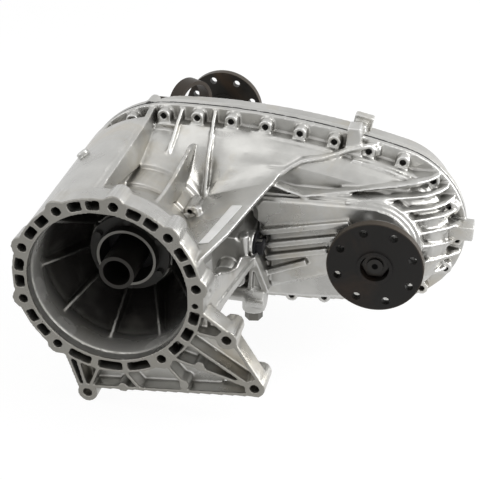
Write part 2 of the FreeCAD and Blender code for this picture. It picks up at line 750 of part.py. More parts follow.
def fin(angle, thick, profile):
    """Web on the barrel: profile is (station, radius) points, turned to an angle."""
    corners = [Vector(radius, station, -thick / 2) for station, radius in profile]
    face = Part.Face(Part.makePolygon(corners + corners[:1]))
    web = face.extrude(Vector(0, 0, thick))
    web.rotate(Vector(0, 0, 0), Vector(0, 1, 0), -angle)
    return web


def fence(first, last, thick, profile):
    """Upright web along the line between two (x, station) points: profile is (station, z)."""
    lean = (last[0] - first[0]) / (last[1] - first[1])
    corners = [Vector(first[0] + lean * (station - first[1]) - thick / 2, station, z)
               for station, z in profile]
    return Part.Face(Part.makePolygon(corners + corners[:1])).extrude(Vector(thick, 0, 0))


def barrel_fins():
    """Ridge at the edge of the flank and three webs that run up to the joint flange."""
    lip = lip_front()
    return [fin(RIDGE - 1.5, 8, [(24, 104), (24, 115), (160, 119.5), (226, 124), (lip + 1, 128.5),
                                 (lip + 1, 100), (226, 100), (160, 84)]),
            fence((50, 20), (50, 214), 5, [(20, 100), (73, 95.5), (124, 96), (193, 103), (206, 101),
                                           (214, 96), (214, 66), (124, 60), (60, 86), (20, 88)]),
            fence((21, 190), (24, lip), 4.5, [(lip + 1, 130.5), (193, 93.5), (187, 86),
                                              (lip + 1, 86)]),
            fence((76, 164), (68, lip), 4.5, [(160, 44), (172, 63), (181, 78), (192, 91), (206, 100),
                                              (230, 117), (lip + 1, 132.5), (lip + 1, 90),
                                              (215, 80), (190, 52), (160, 36)])]


# Ribs on the right of the chest, from the top: (x, station, height) of the front edge.
RIBS = [
    [(334, 227, 70), (361, 247, 75)],
    [(138, 197, 71), (167, 188, 62), (210, 187, 56.5), (278, 198, 66), (336, 212, 74), (360, 243, 74)],
    [(246, 190, 52), (274, 192, 52.5), (326, 205, 54), (348, 215, 56), (372, 245, 60)],
    [(306, 189, 41), (342, 203, 41), (359, 215, 41.5), (381, 247, 45)],
    [(316, 188, 27), (351, 203, 27.5), (372, 219, 28.5), (389, 247, 32)],
    [(326, 188, 11), (357, 203, 11), (375, 219, 10), (392, 247, 9)],
    [(330, 188, -7), (362, 203, -8), (377, 219, -10), (394, 247, -11)],
    [(330, 188, -26), (363, 203, -28), (375, 219, -30), (395, 247, -32)],
    [(330, 190, -46), (358, 206, -48), (371, 221, -50), (386, 247, -53)],
]
# Broad ribs on the platform's lower left: (x, z) of the upper edge's ends.
STEPS = [((150, 14), (258, 38)), ((157, -4), (244, 16)), ((157, -22), (233, -3)), ((156, -44), (207, -23))]


def ribbon(points, thick):
    """Rib under a line of (x, station, height) points, thicker at its root."""
    root = lip_front() + 2
    sections = []
    for x, station, z in points:
        sections.append([Vector(x, station, z), Vector(x, root, z + 0.8), Vector(x, root, z - thick - 0.8),
                         Vector(x, station, z - thick)])
    return lofted(sections)


def cooling_ribs():
    """Sloping ribs on the chest's right-hand wall and on the platform."""
    limit = slab(-2, size.platform_front, size.split_plane)
    ribs = [ribbon(points, size.rib - 0.5).common(limit) for points in RIBS]
    front = size.platform_front - 8
    for (left, top), (right, high) in STEPS:
        ribs.append(plate([(left + 2, top), (right, high), (right + 3, high - 7), (left + 3, top - 8),
                           (left - 2, top - 4)], front, size.platform_front + 2))
    return ribs


VENT = (69.5, 50.5)
EYE_Y = 135
EYE_Z = -65
EYE_RADIUS = 12
EYE_END = 161
STRUT_FRONT = 127


def outside_bosses():
    """Lugs, pads and small bosses on the outside of the front case."""
    x = size.output_x + size.right_radius - size.right_shift
    adds = [plate([(240, 92), (262, 92), (259, 131), (243, 131)], lip_front() - 20, lip_front() + 4),
            plate([(x - 26, -6), (x + 10, -6), (x + 10, 12), (x - 26, 12)],
                  lip_front() - 24, lip_front() + 4),
            cylinder(*VENT, size.first_step - 2, size.first_step + 34, 6.5),
            Part.makeCylinder(15, 26, Vector(size.plug_x, size.plug_y, size.plug_seat),
                              Vector(0, 0, 1)),
            Part.makeCylinder(EYE_RADIUS, EYE_END - 98, Vector(98, EYE_Y, EYE_Z), Vector(1, 0, 0)),
            plate([(132, -80), (158, -80), (160, -56), (146, -14), (132, -12)], size.plug_y,
                  size.chest_front),
            plate([(144, -8), (148, -12), (146, -60), (140, -60)], STRUT_FRONT, size.plug_y + 2),
            plate([(141, -10), (150, -8), (168, -56), (161, -62), (146, -20)], STRUT_FRONT,
                  size.plug_y + 2),
            Part.makeCylinder(5.5, 34, Vector(134, 136, -12), Vector(0, 0, 1)),
            fence((118, 28), (145, 128), 5, [(14, 24), (75, 0), (128, -8), (132, -18), (14, -46)]),
            fence((118, 28), (145, 128), 9, [(14, -32), (128, -8), (132, -18), (14, -44)])]
    x, z = ring_point(flank_radius(150) - 4, 128)
    adds.append(Part.makeCylinder(8, 10, Vector(x, 150, z), Vector(x, 0, z)))
    cuts = [cylinder(*VENT, size.first_step - 3, size.first_step + 14, 3),
            Part.makeCylinder(8 + size.running, 24,
                              Vector(size.plug_x, size.plug_y, size.plug_seat - 1),
                              Vector(0, 0, 1)),
            Part.makeCylinder(5, 12, Vector(EYE_END - 9, EYE_Y, EYE_Z), Vector(1, 0, 0))]
    return adds, cuts


def front_case():
    """Front half of the case with the bell, one casting."""
    x, z = size.output_x, size.output_z
    bell_adds, bell_cuts = bell()
    chest_adds, chest_cuts = chest()
    shift_adds, shift_cuts = shift_housing()
    foot_adds, foot_cuts = foot()
    lug_adds, lug_cuts = outside_bosses()
    body = joined(bell_adds)
    for adds in (chest_adds, shift_adds, [shelf()], [dome(), band()], barrel_fins(), cooling_ribs(),
                 foot_adds, lug_adds):
        body = body.multiFuse(adds)
    for cuts in (bell_cuts, chest_cuts, shift_cuts):
        body = body.cut(cuts)
    body = body.fuse(joined(bell_webs()))
    bearing = size.input_bearing_front
    end = bearing + size.input_bearing_width
    front = front_bearing_front()
    running = size.running
    bores = [cylinder(0, 0, bearing - 6, size.bulkhead_back + 1, size.input_bearing_outer + running),
             cylinder(0, 0, retainer_seat() - 16, bearing, size.retainer_radius + running),
             cylinder(0, 0, end, size.bulkhead_back + 1, size.input_bearing_outer + 8),
             cylinder(x, z, front, front + size.front_bearing_width + 2, size.front_bearing_outer
                      + running),
             cylinder(x, z, size.nose_front - 1, front + 1, size.flange_hub + size.seal_width
                      + running)]
    reach = size.split_plane - size.case_boss_length - 1
    split = size.split_plane
    holes = [cylinder(a, b, reach, split + 1, size.case_bolt_radius + running)
             for a, b in case_bolt_spots()]
    holes += [cylinder(a, b, split - size.dowel_reach, split + 1, size.dowel_radius + running)
              for a, b in dowel_spots()]
    screws = [cylinder(a, b, retainer_seat() - 1, retainer_seat() + 20, size.screw_radius + running)
              for a, b in retainer_screws()]
    for cuts in (bores, foot_cuts, lug_cuts, flange_pockets(), holes, screws):
        body = body.cut(cuts)
    return body


feature("front_case", front_case())


# Rear case half, sealant and the hardware of the joint.

def rear_face():
    """Face of the rear case against the sealant."""
    return size.split_plane + size.seam


def bolt_seat():
    return rear_face() + size.rear_lip


def rear_case():
    x, z = size.output_x, size.output_z
    back = size.chest_back
    inner = -size.lip_width - size.wall
    adds = [slab(0, rear_face(), bolt_seat()), slab(-size.lip_width, bolt_seat(), back),
            cylinder(0, 0, back - 2, size.rear_boss_back, size.rear_boss_radius),
            cylinder(x, z, back - 2, back + 8, size.end_boss_radius)]
    for k in range(8):
        start = ring_point(size.rear_boss_radius - 4, 45 * k)
        adds.append(wall_between(start, ring_point(94, 45 * k), size.rib, back - 2, back + 8))
        start = ring_point(size.end_boss_radius - 3, 45 * k, (x, z))
        adds.append(wall_between(start, ring_point(82, 45 * k, (x, z)), size.rib, back - 2,
                                 back + 5))
    adds.append(wall_between((60, 30), (x - 40, z + 30), size.rib, back - 2, back + 8))
    adds.append(wall_between((60, -34), (x - 40, z - 28), size.rib, back - 2, back + 8))
    adds.append(plate([(243, 92), (260, 89), (261, 118), (246, 121)], bolt_seat() - 2,
                      bolt_seat() + 16))
    adds.append(cylinder(*ring_point(size.left_radius - 6, 105, (size.left_centre, 0)),
                         rear_face(), bolt_seat() + 14, 8))
    inside = slab(inner, rear_face() - 1, back - size.wall)
    keep = [cylinder(x, z, end_bearing_front() - 3, back, size.end_boss_radius),
            cylinder(size.rail_x, size.rail_z, size.rail_back - 6, back, size.rail_radius + 5)]
    cuts = [inside.cut(keep),
            cylinder(0, 0, back - size.wall - 1, size.rear_bearing_front + size.rear_bearing_width,
                     size.rear_bearing_outer + size.running),
            cylinder(0, 0, back, size.rear_boss_back + 1, size.rear_bearing_outer - 8),
            cylinder(x, z, end_bearing_front() - 4, end_bearing_front()
                     + size.end_bearing_width, size.end_bearing_outer + size.running),
            cylinder(x, z, end_bearing_front(), end_bearing_front()
                     + size.end_bearing_width + 4, size.end_bearing_bore + 4),
            cylinder(size.rail_x, size.rail_z, size.rail_back - 7, back - 3,
                     size.rail_radius + size.running),
            cylinder(*FILL_PLUG, back - 10, back + 1, PLUG_RADIUS + size.running)]
    cuts += [cylinder(a, b, rear_face() - 1, bolt_seat() + 1, size.case_bolt_radius + size.running)
             for a, b in case_bolt_spots()]
    cuts += [cylinder(a, b, rear_face() - 1, rear_face() + size.dowel_reach,
                      size.dowel_radius + size.running) for a, b in dowel_spots()]
    cuts += [cylinder(a, b, size.rear_boss_back - 18, size.rear_boss_back + 1,
                      size.screw_radius + size.running) for a, b in tail_screws()]
    cuts += [cylinder(a, b, back - 6, back + 1, size.screw_radius + size.running)
             for a, b in hanger_screw_spots()]
    return joined(adds).cut(cuts)


FILL_PLUG = (150, 52)
PLUG_RADIUS = 8


def tail_screws():
    return [ring_point(size.tail_bolt_radius, 60 * k + 30) for k in range(6)]


def hanger_screw_spots():
    return [(size.hanger_x - 35, size.hanger_z - 12), (size.hanger_x - 35, size.hanger_z + 10)]


def sealant():
    ring = slab(0, size.split_plane, rear_face()).cut(
        slab(-size.lip_width - size.wall, size.split_plane - 1, rear_face() + 1))
    holes = [cylinder(x, z, size.split_plane - 1, rear_face() + 1, size.case_bolt_radius
                      + size.running) for x, z in case_bolt_spots()]
    holes += [cylinder(x, z, size.split_plane - 1, rear_face() + 1, size.dowel_radius + size.running)
              for x, z in dowel_spots()]
    return ring.cut(holes)


def bolt(x, z, seat, reach, radius, flats, head, side=1):
    """Flanged hexagon bolt along Y; its head stands on the seat, on the side given."""
    if side > 0:
        parts = [cylinder(x, z, seat - reach, seat + 1, radius),
                 cylinder(x, z, seat, seat + 1.6, flats * 0.62),
                 hexagon(x, z, seat + 1, seat + head, flats)]
    else:
        parts = [cylinder(x, z, seat - 1, seat + reach, radius),
                 cylinder(x, z, seat - 1.6, seat, flats * 0.62),
                 hexagon(x, z, seat - head, seat - 1, flats)]
    return joined(parts)


feature("rear_case", rear_case())
feature("case_sealant", sealant())
feature("case_bolts", Part.makeCompound([
    bolt(x, z, bolt_seat(), size.rear_lip + size.seam + size.case_bolt_reach,
         size.case_bolt_radius, size.case_bolt_flats, size.case_bolt_head)
    for x, z in case_bolt_spots()]))
feature("case_dowels", Part.makeCompound([
    cylinder(x, z, size.split_plane - size.dowel_reach + 0.5, rear_face() + size.dowel_reach - 0.5,
             size.dowel_radius) for x, z in dowel_spots()]))


# Bearings: an outer ring with its balls, and an inner ring that turns with the shaft.

def bearing(label, line, front, width, outer, bore):
    x, z = {"main": (0, 0), "front": (size.output_x, size.output_z)}[line]
    inner_top = bore + 0.3 * (outer - bore)
    outer_low = outer - 0.3 * (outer - bore)
    ball = (outer_low - inner_top) / 2 - 0.03
    middle = (outer_low + inner_top) / 2
    ring = cylinder(x, z, front, front + width, outer).cut(
        cylinder(x, z, front - 1, front + width + 1, outer_low))
    count = int(2 * math.pi * middle / (2.6 * ball))
    balls = []
    for k in range(count):
        a, b = ring_point(middle, 360 * k / count, (x, z))
        balls.append(Part.makeSphere(ball, Vector(a, front + width / 2, b)))
    feature(f"{label}_outer", Part.makeCompound([ring] + balls))
    feature(f"{label}_inner", cylinder(x, z, front, front + width, inner_top).cut(
        cylinder(x, z, front - 1, front + width + 1, bore)))


bearing("input_bearing", "main", size.input_bearing_front, size.input_bearing_width,
        size.input_bearing_outer, size.input_bearing_bore)
bearing("rear_bearing", "main", size.rear_bearing_front, size.rear_bearing_width,
        size.rear_bearing_outer, size.rear_journal)
bearing("front_bearing", "front", front_bearing_front(), size.front_bearing_width,
        size.front_bearing_outer, size.front_bearing_bore)
bearing("end_bearing", "front", end_bearing_front(), size.end_bearing_width,
        size.end_bearing_outer, size.end_bearing_bore)


# Bearing retainer at the bottom of the bell, with its screws and the input oil seal.

def retainer():
    seat = retainer_seat()
    body = joined([cylinder(0, 0, size.retainer_nose, size.input_bearing_front - 0.2,
                            size.retainer_radius),
                   cylinder(0, 0, seat - size.retainer_thick, seat, size.retainer_flange)])
    inner = size.retainer_radius - size.retainer_wall
    cuts = [cylinder(0, 0, size.retainer_nose - 1, size.input_bearing_front + 1, inner)]
    cuts += [cylinder(x, z, seat - size.retainer_thick - 1, seat + 1, size.screw_radius + 0.3)
             for x, z in retainer_screws()]
    return body.cut(cuts)


feature("bearing_retainer", retainer())
feature("retainer_screws", Part.makeCompound([
    bolt(x, z, retainer_seat() - size.retainer_thick, size.retainer_thick + 14,
         size.screw_radius, size.screw_flats, 5, -1) for x, z in retainer_screws()]))
SEAL_START = "input_bearing_front - 22"
turned("input_seal", [(SEAL_START, SEAL_START + " + seal_depth",
                       "retainer_radius - retainer_wall - 0.02")],
       [(SEAL_START + " - 1", SEAL_START + " + seal_depth + 1", "input_radius + running")])


# Planetary gears: involute teeth from the module and the tooth numbers.

PRESSURE = math.radians(20)


def involute(angle):
    return math.tan(angle) - angle


def half_tooth(radius, teeth, share):
    """Half the angle of a tooth at a radius, in radians."""
    pitch = size.gear_module * teeth / 2
    base = pitch * math.cos(PRESSURE)
    flank = math.acos(min(1, base / radius))
    return share * math.pi / teeth + involute(PRESSURE) - involute(flank)


def gear(x, z, teeth, root, tip, share, start, end, phase):
    """Toothed disc: every flank has points at its root, middle and tip."""
    corners = []
    for number in range(int(teeth)):
        middle = math.radians(phase) + 2 * math.pi * number / teeth
        radii = (root, (root + tip) / 2, tip)
        flanks = [(radius, -half_tooth(radius, teeth, share)) for radius in radii]
        flanks += [(radius, half_tooth(radius, teeth, share)) for radius in reversed(radii)]
        for radius, off in flanks:
            corners.append(ring_point(radius, math.degrees(middle + off), (x, z)))
    return plate(corners, start, end)


RING_TEETH = size.sun_teeth + 2 * size.planet_teeth
SUN_PITCH = size.gear_module * size.sun_teeth / 2
PLANET_PITCH = size.gear_module * size.planet_teeth / 2
RING_PITCH = size.gear_module * RING_TEETH / 2
TIP = 0.85 * size.gear_module
ROOT = 1.15 * size.gear_module
PLANET_LINE = SUN_PITCH + PLANET_PITCH
GEAR_BACK = size.gear_front + size.gear_width


def input_shaft():
    nose, seat = size.input_nose, size.input_bearing_front
    journal_end = seat + size.input_bearing_width
    hub = size.input_bearing_bore + 5
    body = joined([cylinder(0, 0, nose, seat, size.input_radius),
                   cylinder(0, 0, seat - 1, journal_end, size.input_bearing_bore),
                   cylinder(0, 0, journal_end, GEAR_BACK, hub),
                   gear(0, 0, size.sun_teeth, SUN_PITCH - ROOT, SUN_PITCH + TIP, size.tooth_share,
                        size.gear_front, GEAR_BACK, 0)])
    pilot = size.pilot_radius + size.needle_wall + size.running
    return body.cut([cylinder(0, 0, nose - 1, nose + size.input_bore_depth, size.input_bore),
                     cylinder(0, 0, size.gear_front - 6, GEAR_BACK + 1, pilot),
                     cylinder(0, 0, size.range_front - 1, GEAR_BACK + 1, size.dog_radius + 1.5)])


def annulus():
    body = cylinder(0, 0, size.gear_front - 3, GEAR_BACK + 3, size.chamber_radius - size.running)
    space = gear(0, 0, RING_TEETH, RING_PITCH - TIP, RING_PITCH + ROOT, 1 - size.tooth_share,
                 size.gear_front - 4, GEAR_BACK + 4, 180 / RING_TEETH)
    return body.cut(space)


CARRIER_FRONT = size.gear_front - 1.5 - size.carrier_plate
CARRIER_REAR = GEAR_BACK + 1.8
CARRIER_END = CARRIER_REAR + size.carrier_back


def planet_spots(shift=0):
    count = int(size.planets)
    return [ring_point(PLANET_LINE, 360 * k / count + shift) for k in range(count)]


def carrier():
    outer = RING_PITCH - TIP - 4
    hub = size.input_bearing_bore + 6
    adds = [cylinder(0, 0, CARRIER_FRONT, CARRIER_FRONT + size.carrier_plate, outer).cut(
                cylinder(0, 0, CARRIER_FRONT - 1, CARRIER_END, hub)),
            cylinder(0, 0, CARRIER_REAR, CARRIER_END, outer),
            cylinder(0, 0, CARRIER_REAR, CARRIER_END + 9, size.dog_radius + 12)]
    adds += [cylinder(x, z, CARRIER_FRONT, CARRIER_END, 8) for x, z in planet_spots(45)]
    cuts = [cylinder(0, 0, CARRIER_REAR - 1, CARRIER_END + 10, size.dog_radius + 1.5)]
    cuts += [cylinder(x, z, CARRIER_FRONT - 1, CARRIER_END + 1, size.pin_radius + size.running)
             for x, z in planet_spots()]
    return joined(adds).cut(cuts)


feature("input_shaft", input_shaft())
feature("annulus_gear", annulus())
feature("planet_carrier", carrier())
feature("planet_pins", Part.makeCompound([
    cylinder(x, z, CARRIER_FRONT, CARRIER_END, size.pin_radius) for x, z in planet_spots()]))
for number, (x, z) in enumerate(planet_spots(), start=1):
    wheel = gear(x, z, size.planet_teeth, PLANET_PITCH - ROOT, PLANET_PITCH + TIP,
                 size.tooth_share, size.gear_front, GEAR_BACK, 180 / size.planet_teeth)
    hole = cylinder(x, z, size.gear_front - 1, GEAR_BACK + 1, size.pin_radius + size.running)
    feature(f"planet_gear_{number}", wheel.cut(hole))


# Main shaft with what turns on it.

turned("main_shaft",
       [("gear_front + 3", "range_front", "pilot_radius"),
        ("range_front", "chest_back", "main_radius"),
        ("chest_back", "hub_front", "rear_journal"),
        ("hub_front", "rear_flange_face - flange_recess_depth", "flange_seat"),
        ("rear_flange_face - flange_recess_depth - 1", "rear_flange_face - 3", "thread_radius")])
turned("pilot_bearing", [("gear_front", "range_front - 2", "pilot_radius + needle_wall")],
       [("gear_front - 1", "range_front - 1", "pilot_radius + running")])
turned("thrust_washer", [("bulkhead_back", "bulkhead_back + 2", "input_bearing_outer + 12")],
       [("bulkhead_back - 1", "bulkhead_back + 3", "input_bearing_bore + 6")])
turned("sprocket_bearing",
       [("sprocket_front + 3", "sprocket_front + sprocket_width",
         "main_radius + needle_wall - running")],
       [("sprocket_front + 2", "sprocket_front + sprocket_width + 1", "main_radius + running")])
turned("tail_bush", [("bush_front", "bush_front + bush_length", "rear_journal + bush_wall")],
       [("bush_front - 1", "bush_front + bush_length + 1", "rear_journal + running")])
turned("oil_pump", [("pump_front", "chest_back - wall", "pump_radius")],
       [("pump_front - 1", "chest_back", "main_radius + side_gap")])


def collar(label, front, length, dog_front):
    """Shift collar: sleeve, clutch teeth at one end and two rings for the fork."""
    end = f"{front} + {length}"
    dog = front if dog_front else f"{end} - dog_length"
    groove = f"{end} - fork_groove - 2 * ring_thick" if dog_front else front
    rear_ring = f"{groove} + ring_thick + fork_groove"
    turned(label, [(front, end, "collar_radius"), (dog, f"{dog} + dog_length", "dog_radius"),
                   (groove, f"{groove} + ring_thick", "collar_ring"),
                   (rear_ring, f"{rear_ring} + ring_thick", "collar_ring")],
           [(f"{front} - 1", f"{end} + 1", "main_radius + running")])


collar("range_collar", "range_front", "range_length", True)
collar("mode_collar", "mode_front", "mode_length", False)


# Shift rail, its two forks and the sector shaft that moves the range fork.

MODE_GROOVE = size.mode_front + size.ring_thick
FORK_HUB = 11
CRANK = math.asin(size.range_travel / 2 / size.sector_arm)
PIN_Y = size.sector_y - size.range_travel / 2
PIN_Z = size.sector_z - size.sector_arm * math.cos(CRANK)
PIN_RADIUS = 4


def fork(groove, hub_radius):
    front = groove + size.side_gap
    back = groove + size.fork_groove - size.side_gap
    inner = size.collar_radius + 1.3
    arm = plate([(24, -38), (24, 12), (size.rail_x - 4, size.rail_z + 9),
                 (size.rail_x - 4, size.rail_z - 9)], front, back)
    hub = cylinder(size.rail_x, size.rail_z, front - 3, back + 3, FORK_HUB)
    body = joined([sector(inner, size.collar_ring + 6, -112, 88, front, back), arm, hub])
    return body.cut([cylinder(0, 0, front - 1, back + 1, inner),
                     cylinder(size.rail_x, size.rail_z, front - 4, back + 4, hub_radius)])


def shift_rail():
    x, z = size.rail_x, size.rail_z
    rail = cylinder(x, z, size.rail_front, size.rail_back, size.rail_radius)
    block = plate([(x - 7, z - 12), (x + 7, z - 12), (x + 7, z + 12), (x - 7, z + 12)],
                  PIN_Y - 10, PIN_Y + 10)
    slot = plate([(x, z - 13), (x + 9, z - 13), (x + 9, z + 13), (x, z + 13)],
                 PIN_Y - PIN_RADIUS - 0.4, PIN_Y + PIN_RADIUS + 0.4)
    return rail.fuse(block).cut(slot)


def sector_shaft():
    """Cross shaft with its crank: the pin stands in the slot of the shift rail's block."""
    x = size.rail_x + 8.6
    thick = 3.6
    along = Vector(1, 0, 0)
    shaft = Part.makeCylinder(size.sector_radius, size.shift_wall + 9 - x,
                              Vector(x, size.sector_y, size.sector_z), along)
    pin = Part.makeCylinder(PIN_RADIUS, x + thick - size.rail_x - 1,
                            Vector(size.rail_x + 1, PIN_Y, PIN_Z), along)
    ends = [Part.makeCylinder(7, thick, Vector(x, y, z), along)
            for y, z in ((size.sector_y, size.sector_z), (PIN_Y, PIN_Z))]
    web = Part.makeBox(thick, 10, size.sector_arm, Vector(x, size.sector_y - 5,
                                                          size.sector_z - size.sector_arm))
    web.rotate(Vector(x, size.sector_y, size.sector_z), along, -math.degrees(CRANK))
    return joined([shaft, pin, web] + ends)


def sector_cap():
    """Black cap on the sector shaft's outer end."""
    x = size.shift_wall + 1
    block = Part.makeBox(11, 14, 15, Vector(x, size.sector_y - 7, size.sector_z - 7.5))
    rim = Part.makeCylinder(11.5, 2, Vector(x, size.sector_y, size.sector_z), Vector(1, 0, 0))
    hole = Part.makeCylinder(size.sector_radius, 9, Vector(x - 1, size.sector_y, size.sector_z),
                             Vector(1, 0, 0))
    return block.fuse(rim).cut(hole)


feature("range_fork", fork(RANGE_GROOVE, size.rail_radius))
feature("mode_fork", fork(MODE_GROOVE, size.rail_radius + size.running))
feature("shift_rail", shift_rail())
feature("sector_shaft", sector_shaft())
feature("sector_cap", sector_cap())
feature("sector_seal", Part.makeCylinder(
    SECTOR_SEAL, 3, Vector(size.shift_wall - 3, size.sector_y, size.sector_z), Vector(1, 0, 0)).cut(
    Part.makeCylinder(size.sector_radius + size.running, 6,
                      Vector(size.shift_wall - 4, size.sector_y, size.sector_z),
                      Vector(1, 0, 0))))


# Sprockets, chain and the front output.

def sprocket_outline(x, z, start, end):
    """Sprocket teeth with straight flanks."""
    teeth = int(size.sprocket_teeth)
    corners = []
    for number in range(teeth):
        middle = 360 * number / teeth
        pitch = 360 / teeth
        for radius, off in ((size.sprocket_root, -0.32), (size.sprocket_tip, -0.14),
                            (size.sprocket_tip, 0.14), (size.sprocket_root, 0.32)):
            corners.append(ring_point(radius, middle + off * pitch, (x, z)))
    return plate(corners, start, end)


def drive_sprocket():
    front, back = size.sprocket_front, size.sprocket_front + size.sprocket_width
    hub = size.dog_radius + 8
    mouth = size.mode_front + size.mode_length - size.mode_travel + 2
    body = joined([sprocket_outline(0, 0, front, back), cylinder(0, 0, mouth, back + 3, hub)])
    recess = size.mode_front + size.mode_length + 1
    return body.cut([cylinder(0, 0, mouth - 1, back + 4, size.main_radius + size.needle_wall),
                     cylinder(0, 0, mouth - 1, recess, size.dog_radius + 1.5)])


def driven_sprocket():
    x, z = size.output_x, size.output_z
    front, back = size.sprocket_front, size.sprocket_front + size.sprocket_width
    body = joined([sprocket_outline(x, z, front, back),
                   cylinder(x, z, front - 2, end_bearing_front() - 0.5, 27)])
    return body.cut(cylinder(x, z, front - 3, end_bearing_front() + 1, DRIVEN_SEAT))


DRIVEN_SEAT = 20


def chain():
    """Closed loop round both sprockets with grooves between its links."""
    x, z = size.output_x, size.output_z
    front = size.sprocket_front + 1
    back = front + size.sprocket_width - 2
    low = size.sprocket_tip + size.chain_gap
    high = low + size.chain_height
    span = Vector(x, 0, z)
    unit = Vector(span).normalize()
    side = Vector(-unit.z, 0, unit.x)

    def loop(radius):
        points = [side * radius, side * radius + span, span + unit * radius, span - side * radius,
                  side * -radius, unit * -radius]
        return Part.Face(Part.Wire([
            Part.makeLine(points[0], points[1]),
            Part.Arc(points[1], points[2], points[3]).toShape(),
            Part.makeLine(points[3], points[4]),
            Part.Arc(points[4], points[5], points[0]).toShape()]))

    faces = [loop(radius) for radius in (high, low)]
    for face in faces:
        face.translate(Vector(0, front, 0))
    band = faces[0].extrude(Vector(0, back - front, 0)).cut(
        faces[1].extrude(Vector(0, back - front, 0)))
    wire = loop(high).OuterWire
    grooves = []
    count = int(size.chain_links)
    for number in range(count):
        distance = wire.Length * number / count
        for edge in wire.Edges:
            if distance <= edge.Length:
                spot = edge.valueAt(edge.getParameterByLength(distance))
                grooves.append(cylinder(spot.x, spot.z, front - 1, back + 1, 1.6))
                break
            distance -= edge.Length
    return band.cut(grooves)


feature("drive_sprocket", drive_sprocket())
feature("driven_sprocket", driven_sprocket())
feature("drive_chain", chain())
turned("front_output_shaft",
       [("front_flange_face + 3", "front_flange_face + flange_recess_depth + 1", "thread_radius"),
        ("front_flange_face + flange_recess_depth", "platform_front + 4", "flange_seat"),
        ("platform_front + 4", "platform_front + 4 + front_bearing_width", "front_bearing_bore"),
        ("platform_front + 4 + front_bearing_width", "sprocket_front - 2",
         "front_bearing_bore + 2.5"),
        ("sprocket_front - 2", "chest_back - end_bearing_inset - 1", "20"),
        ("chest_back - end_bearing_inset - 1", "chest_back - end_bearing_inset + end_bearing_width + 1",
         "end_bearing_bore")], (), "front")


# Output flanges: the plate with its bolt holes, a hub and a recess for the nut.

def flange(x, z, face, away, hub_radius, hub_end, seat):
    """Companion flange; away is +1 when its mating face looks to -Y."""
    def span(start, end):
        first, second = face + away * start, face + away * end
        return min(first, second), max(first, second)

    length = abs(hub_end - face)
    recess = size.flange_recess_depth
    adds = [cylinder(x, z, *span(0, size.flange_thick), size.flange_radius),
            cylinder(x, z, *span(-2, 2), size.flange_collar),
            cylinder(x, z, *span(size.flange_thick - 1, recess + 3), max(hub_radius,
                                                                          size.flange_collar + 2)),
            cylinder(x, z, *span(size.flange_thick, length), hub_radius)]
    cuts = [cylinder(x, z, *span(-3, recess), size.flange_recess),
            cylinder(x, z, *span(recess - 1, length + 1), seat)]
    for k in range(int(size.flange_holes)):
        a, b = ring_point(size.flange_bolt_radius, 360 * k / size.flange_holes + FLANGE_TURN, (x, z))
        cuts.append(cylinder(a, b, *span(-1, size.flange_thick + 1), size.flange_hole_radius))
    return joined(adds).cut(cuts)


FLANGE_TURN = 19.3


def nut(x, z, start, end):
    return hexagon(x, z, start, end, size.nut_flats).cut(
        cylinder(x, z, start - 1, end + 1, size.thread_radius))


FRONT = (size.output_x, size.output_z)
FRONT_SEAT = size.front_flange_face + size.flange_recess_depth
REAR_SEAT = size.rear_flange_face - size.flange_recess_depth
feature("front_output_flange", flange(*FRONT, size.front_flange_face, 1, size.flange_hub,
                                      front_bearing_front(), size.flange_seat))
feature("front_nut", nut(*FRONT, FRONT_SEAT - size.nut_height, FRONT_SEAT))
feature("rear_output_flange", flange(0, 0, size.rear_flange_face, -1, size.tail_hub,
                                     size.hub_front, size.flange_seat))
feature("rear_nut", nut(0, 0, REAR_SEAT, REAR_SEAT + size.nut_height))
turned("front_output_seal",
       [("nose_front + 1", "nose_front + 1 + seal_depth", "flange_hub + seal_width")],
       [("nose_front", "nose_front + 2 + seal_depth", "flange_hub + running")], "front")


# Tail housing with its seal, screws, tone ring, sensor and the ring that hangs on it.

def tail_housing():
    start, end = size.rear_boss_back, size.tail_back
    bush = size.rear_journal + size.bush_wall
    seal = size.tail_hub + size.seal_width
    adds = [cylinder(0, 0, start, start + size.tail_flange, size.rear_boss_radius),
            cone(0, 0, start, end - 20, size.tail_root, size.tail_radius),
            cylinder(0, 0, end - 20, end, size.tail_radius + 1)]
    adds.append(Part.makeCylinder(13, 46, Vector(0, size.tone_front + size.tone_width / 2, -56),
                                  Vector(0, 0, 1)))
    for k in range(6):
        adds.append(fin(60 * k, size.rib, [(start + 2, size.tail_radius),
                                           (start + 2, size.rear_boss_radius - 3),
                                           (start + 60, size.tail_radius + 4),
                                           (start + 60, size.tail_radius)]))
    cuts = [cone(0, 0, start - 1, size.bush_front - 12, size.tail_root - size.wall,
                 size.tail_radius - 2),
            cylinder(0, 0, start, end, size.rear_journal + 2),
            cylinder(0, 0, size.bush_front, size.bush_front + size.bush_length, bush
                     + size.running / 5),
            cylinder(0, 0, size.hub_front - 4, end + 1, seal + size.running / 5),
            Part.makeCylinder(8 + size.running, 60,
                              Vector(0, size.tone_front + size.tone_width / 2, -60),
                              Vector(0, 0, 1))]
    cuts += [cylinder(x, z, start - 1, start + size.tail_flange + 1, size.screw_radius + 0.3)
             for x, z in tail_screws()]
    cuts += [cylinder(x, z, start + size.tail_flange, start + size.tail_flange + 20, 7)
             for x, z in tail_screws()]
    return joined(adds).cut(cuts)


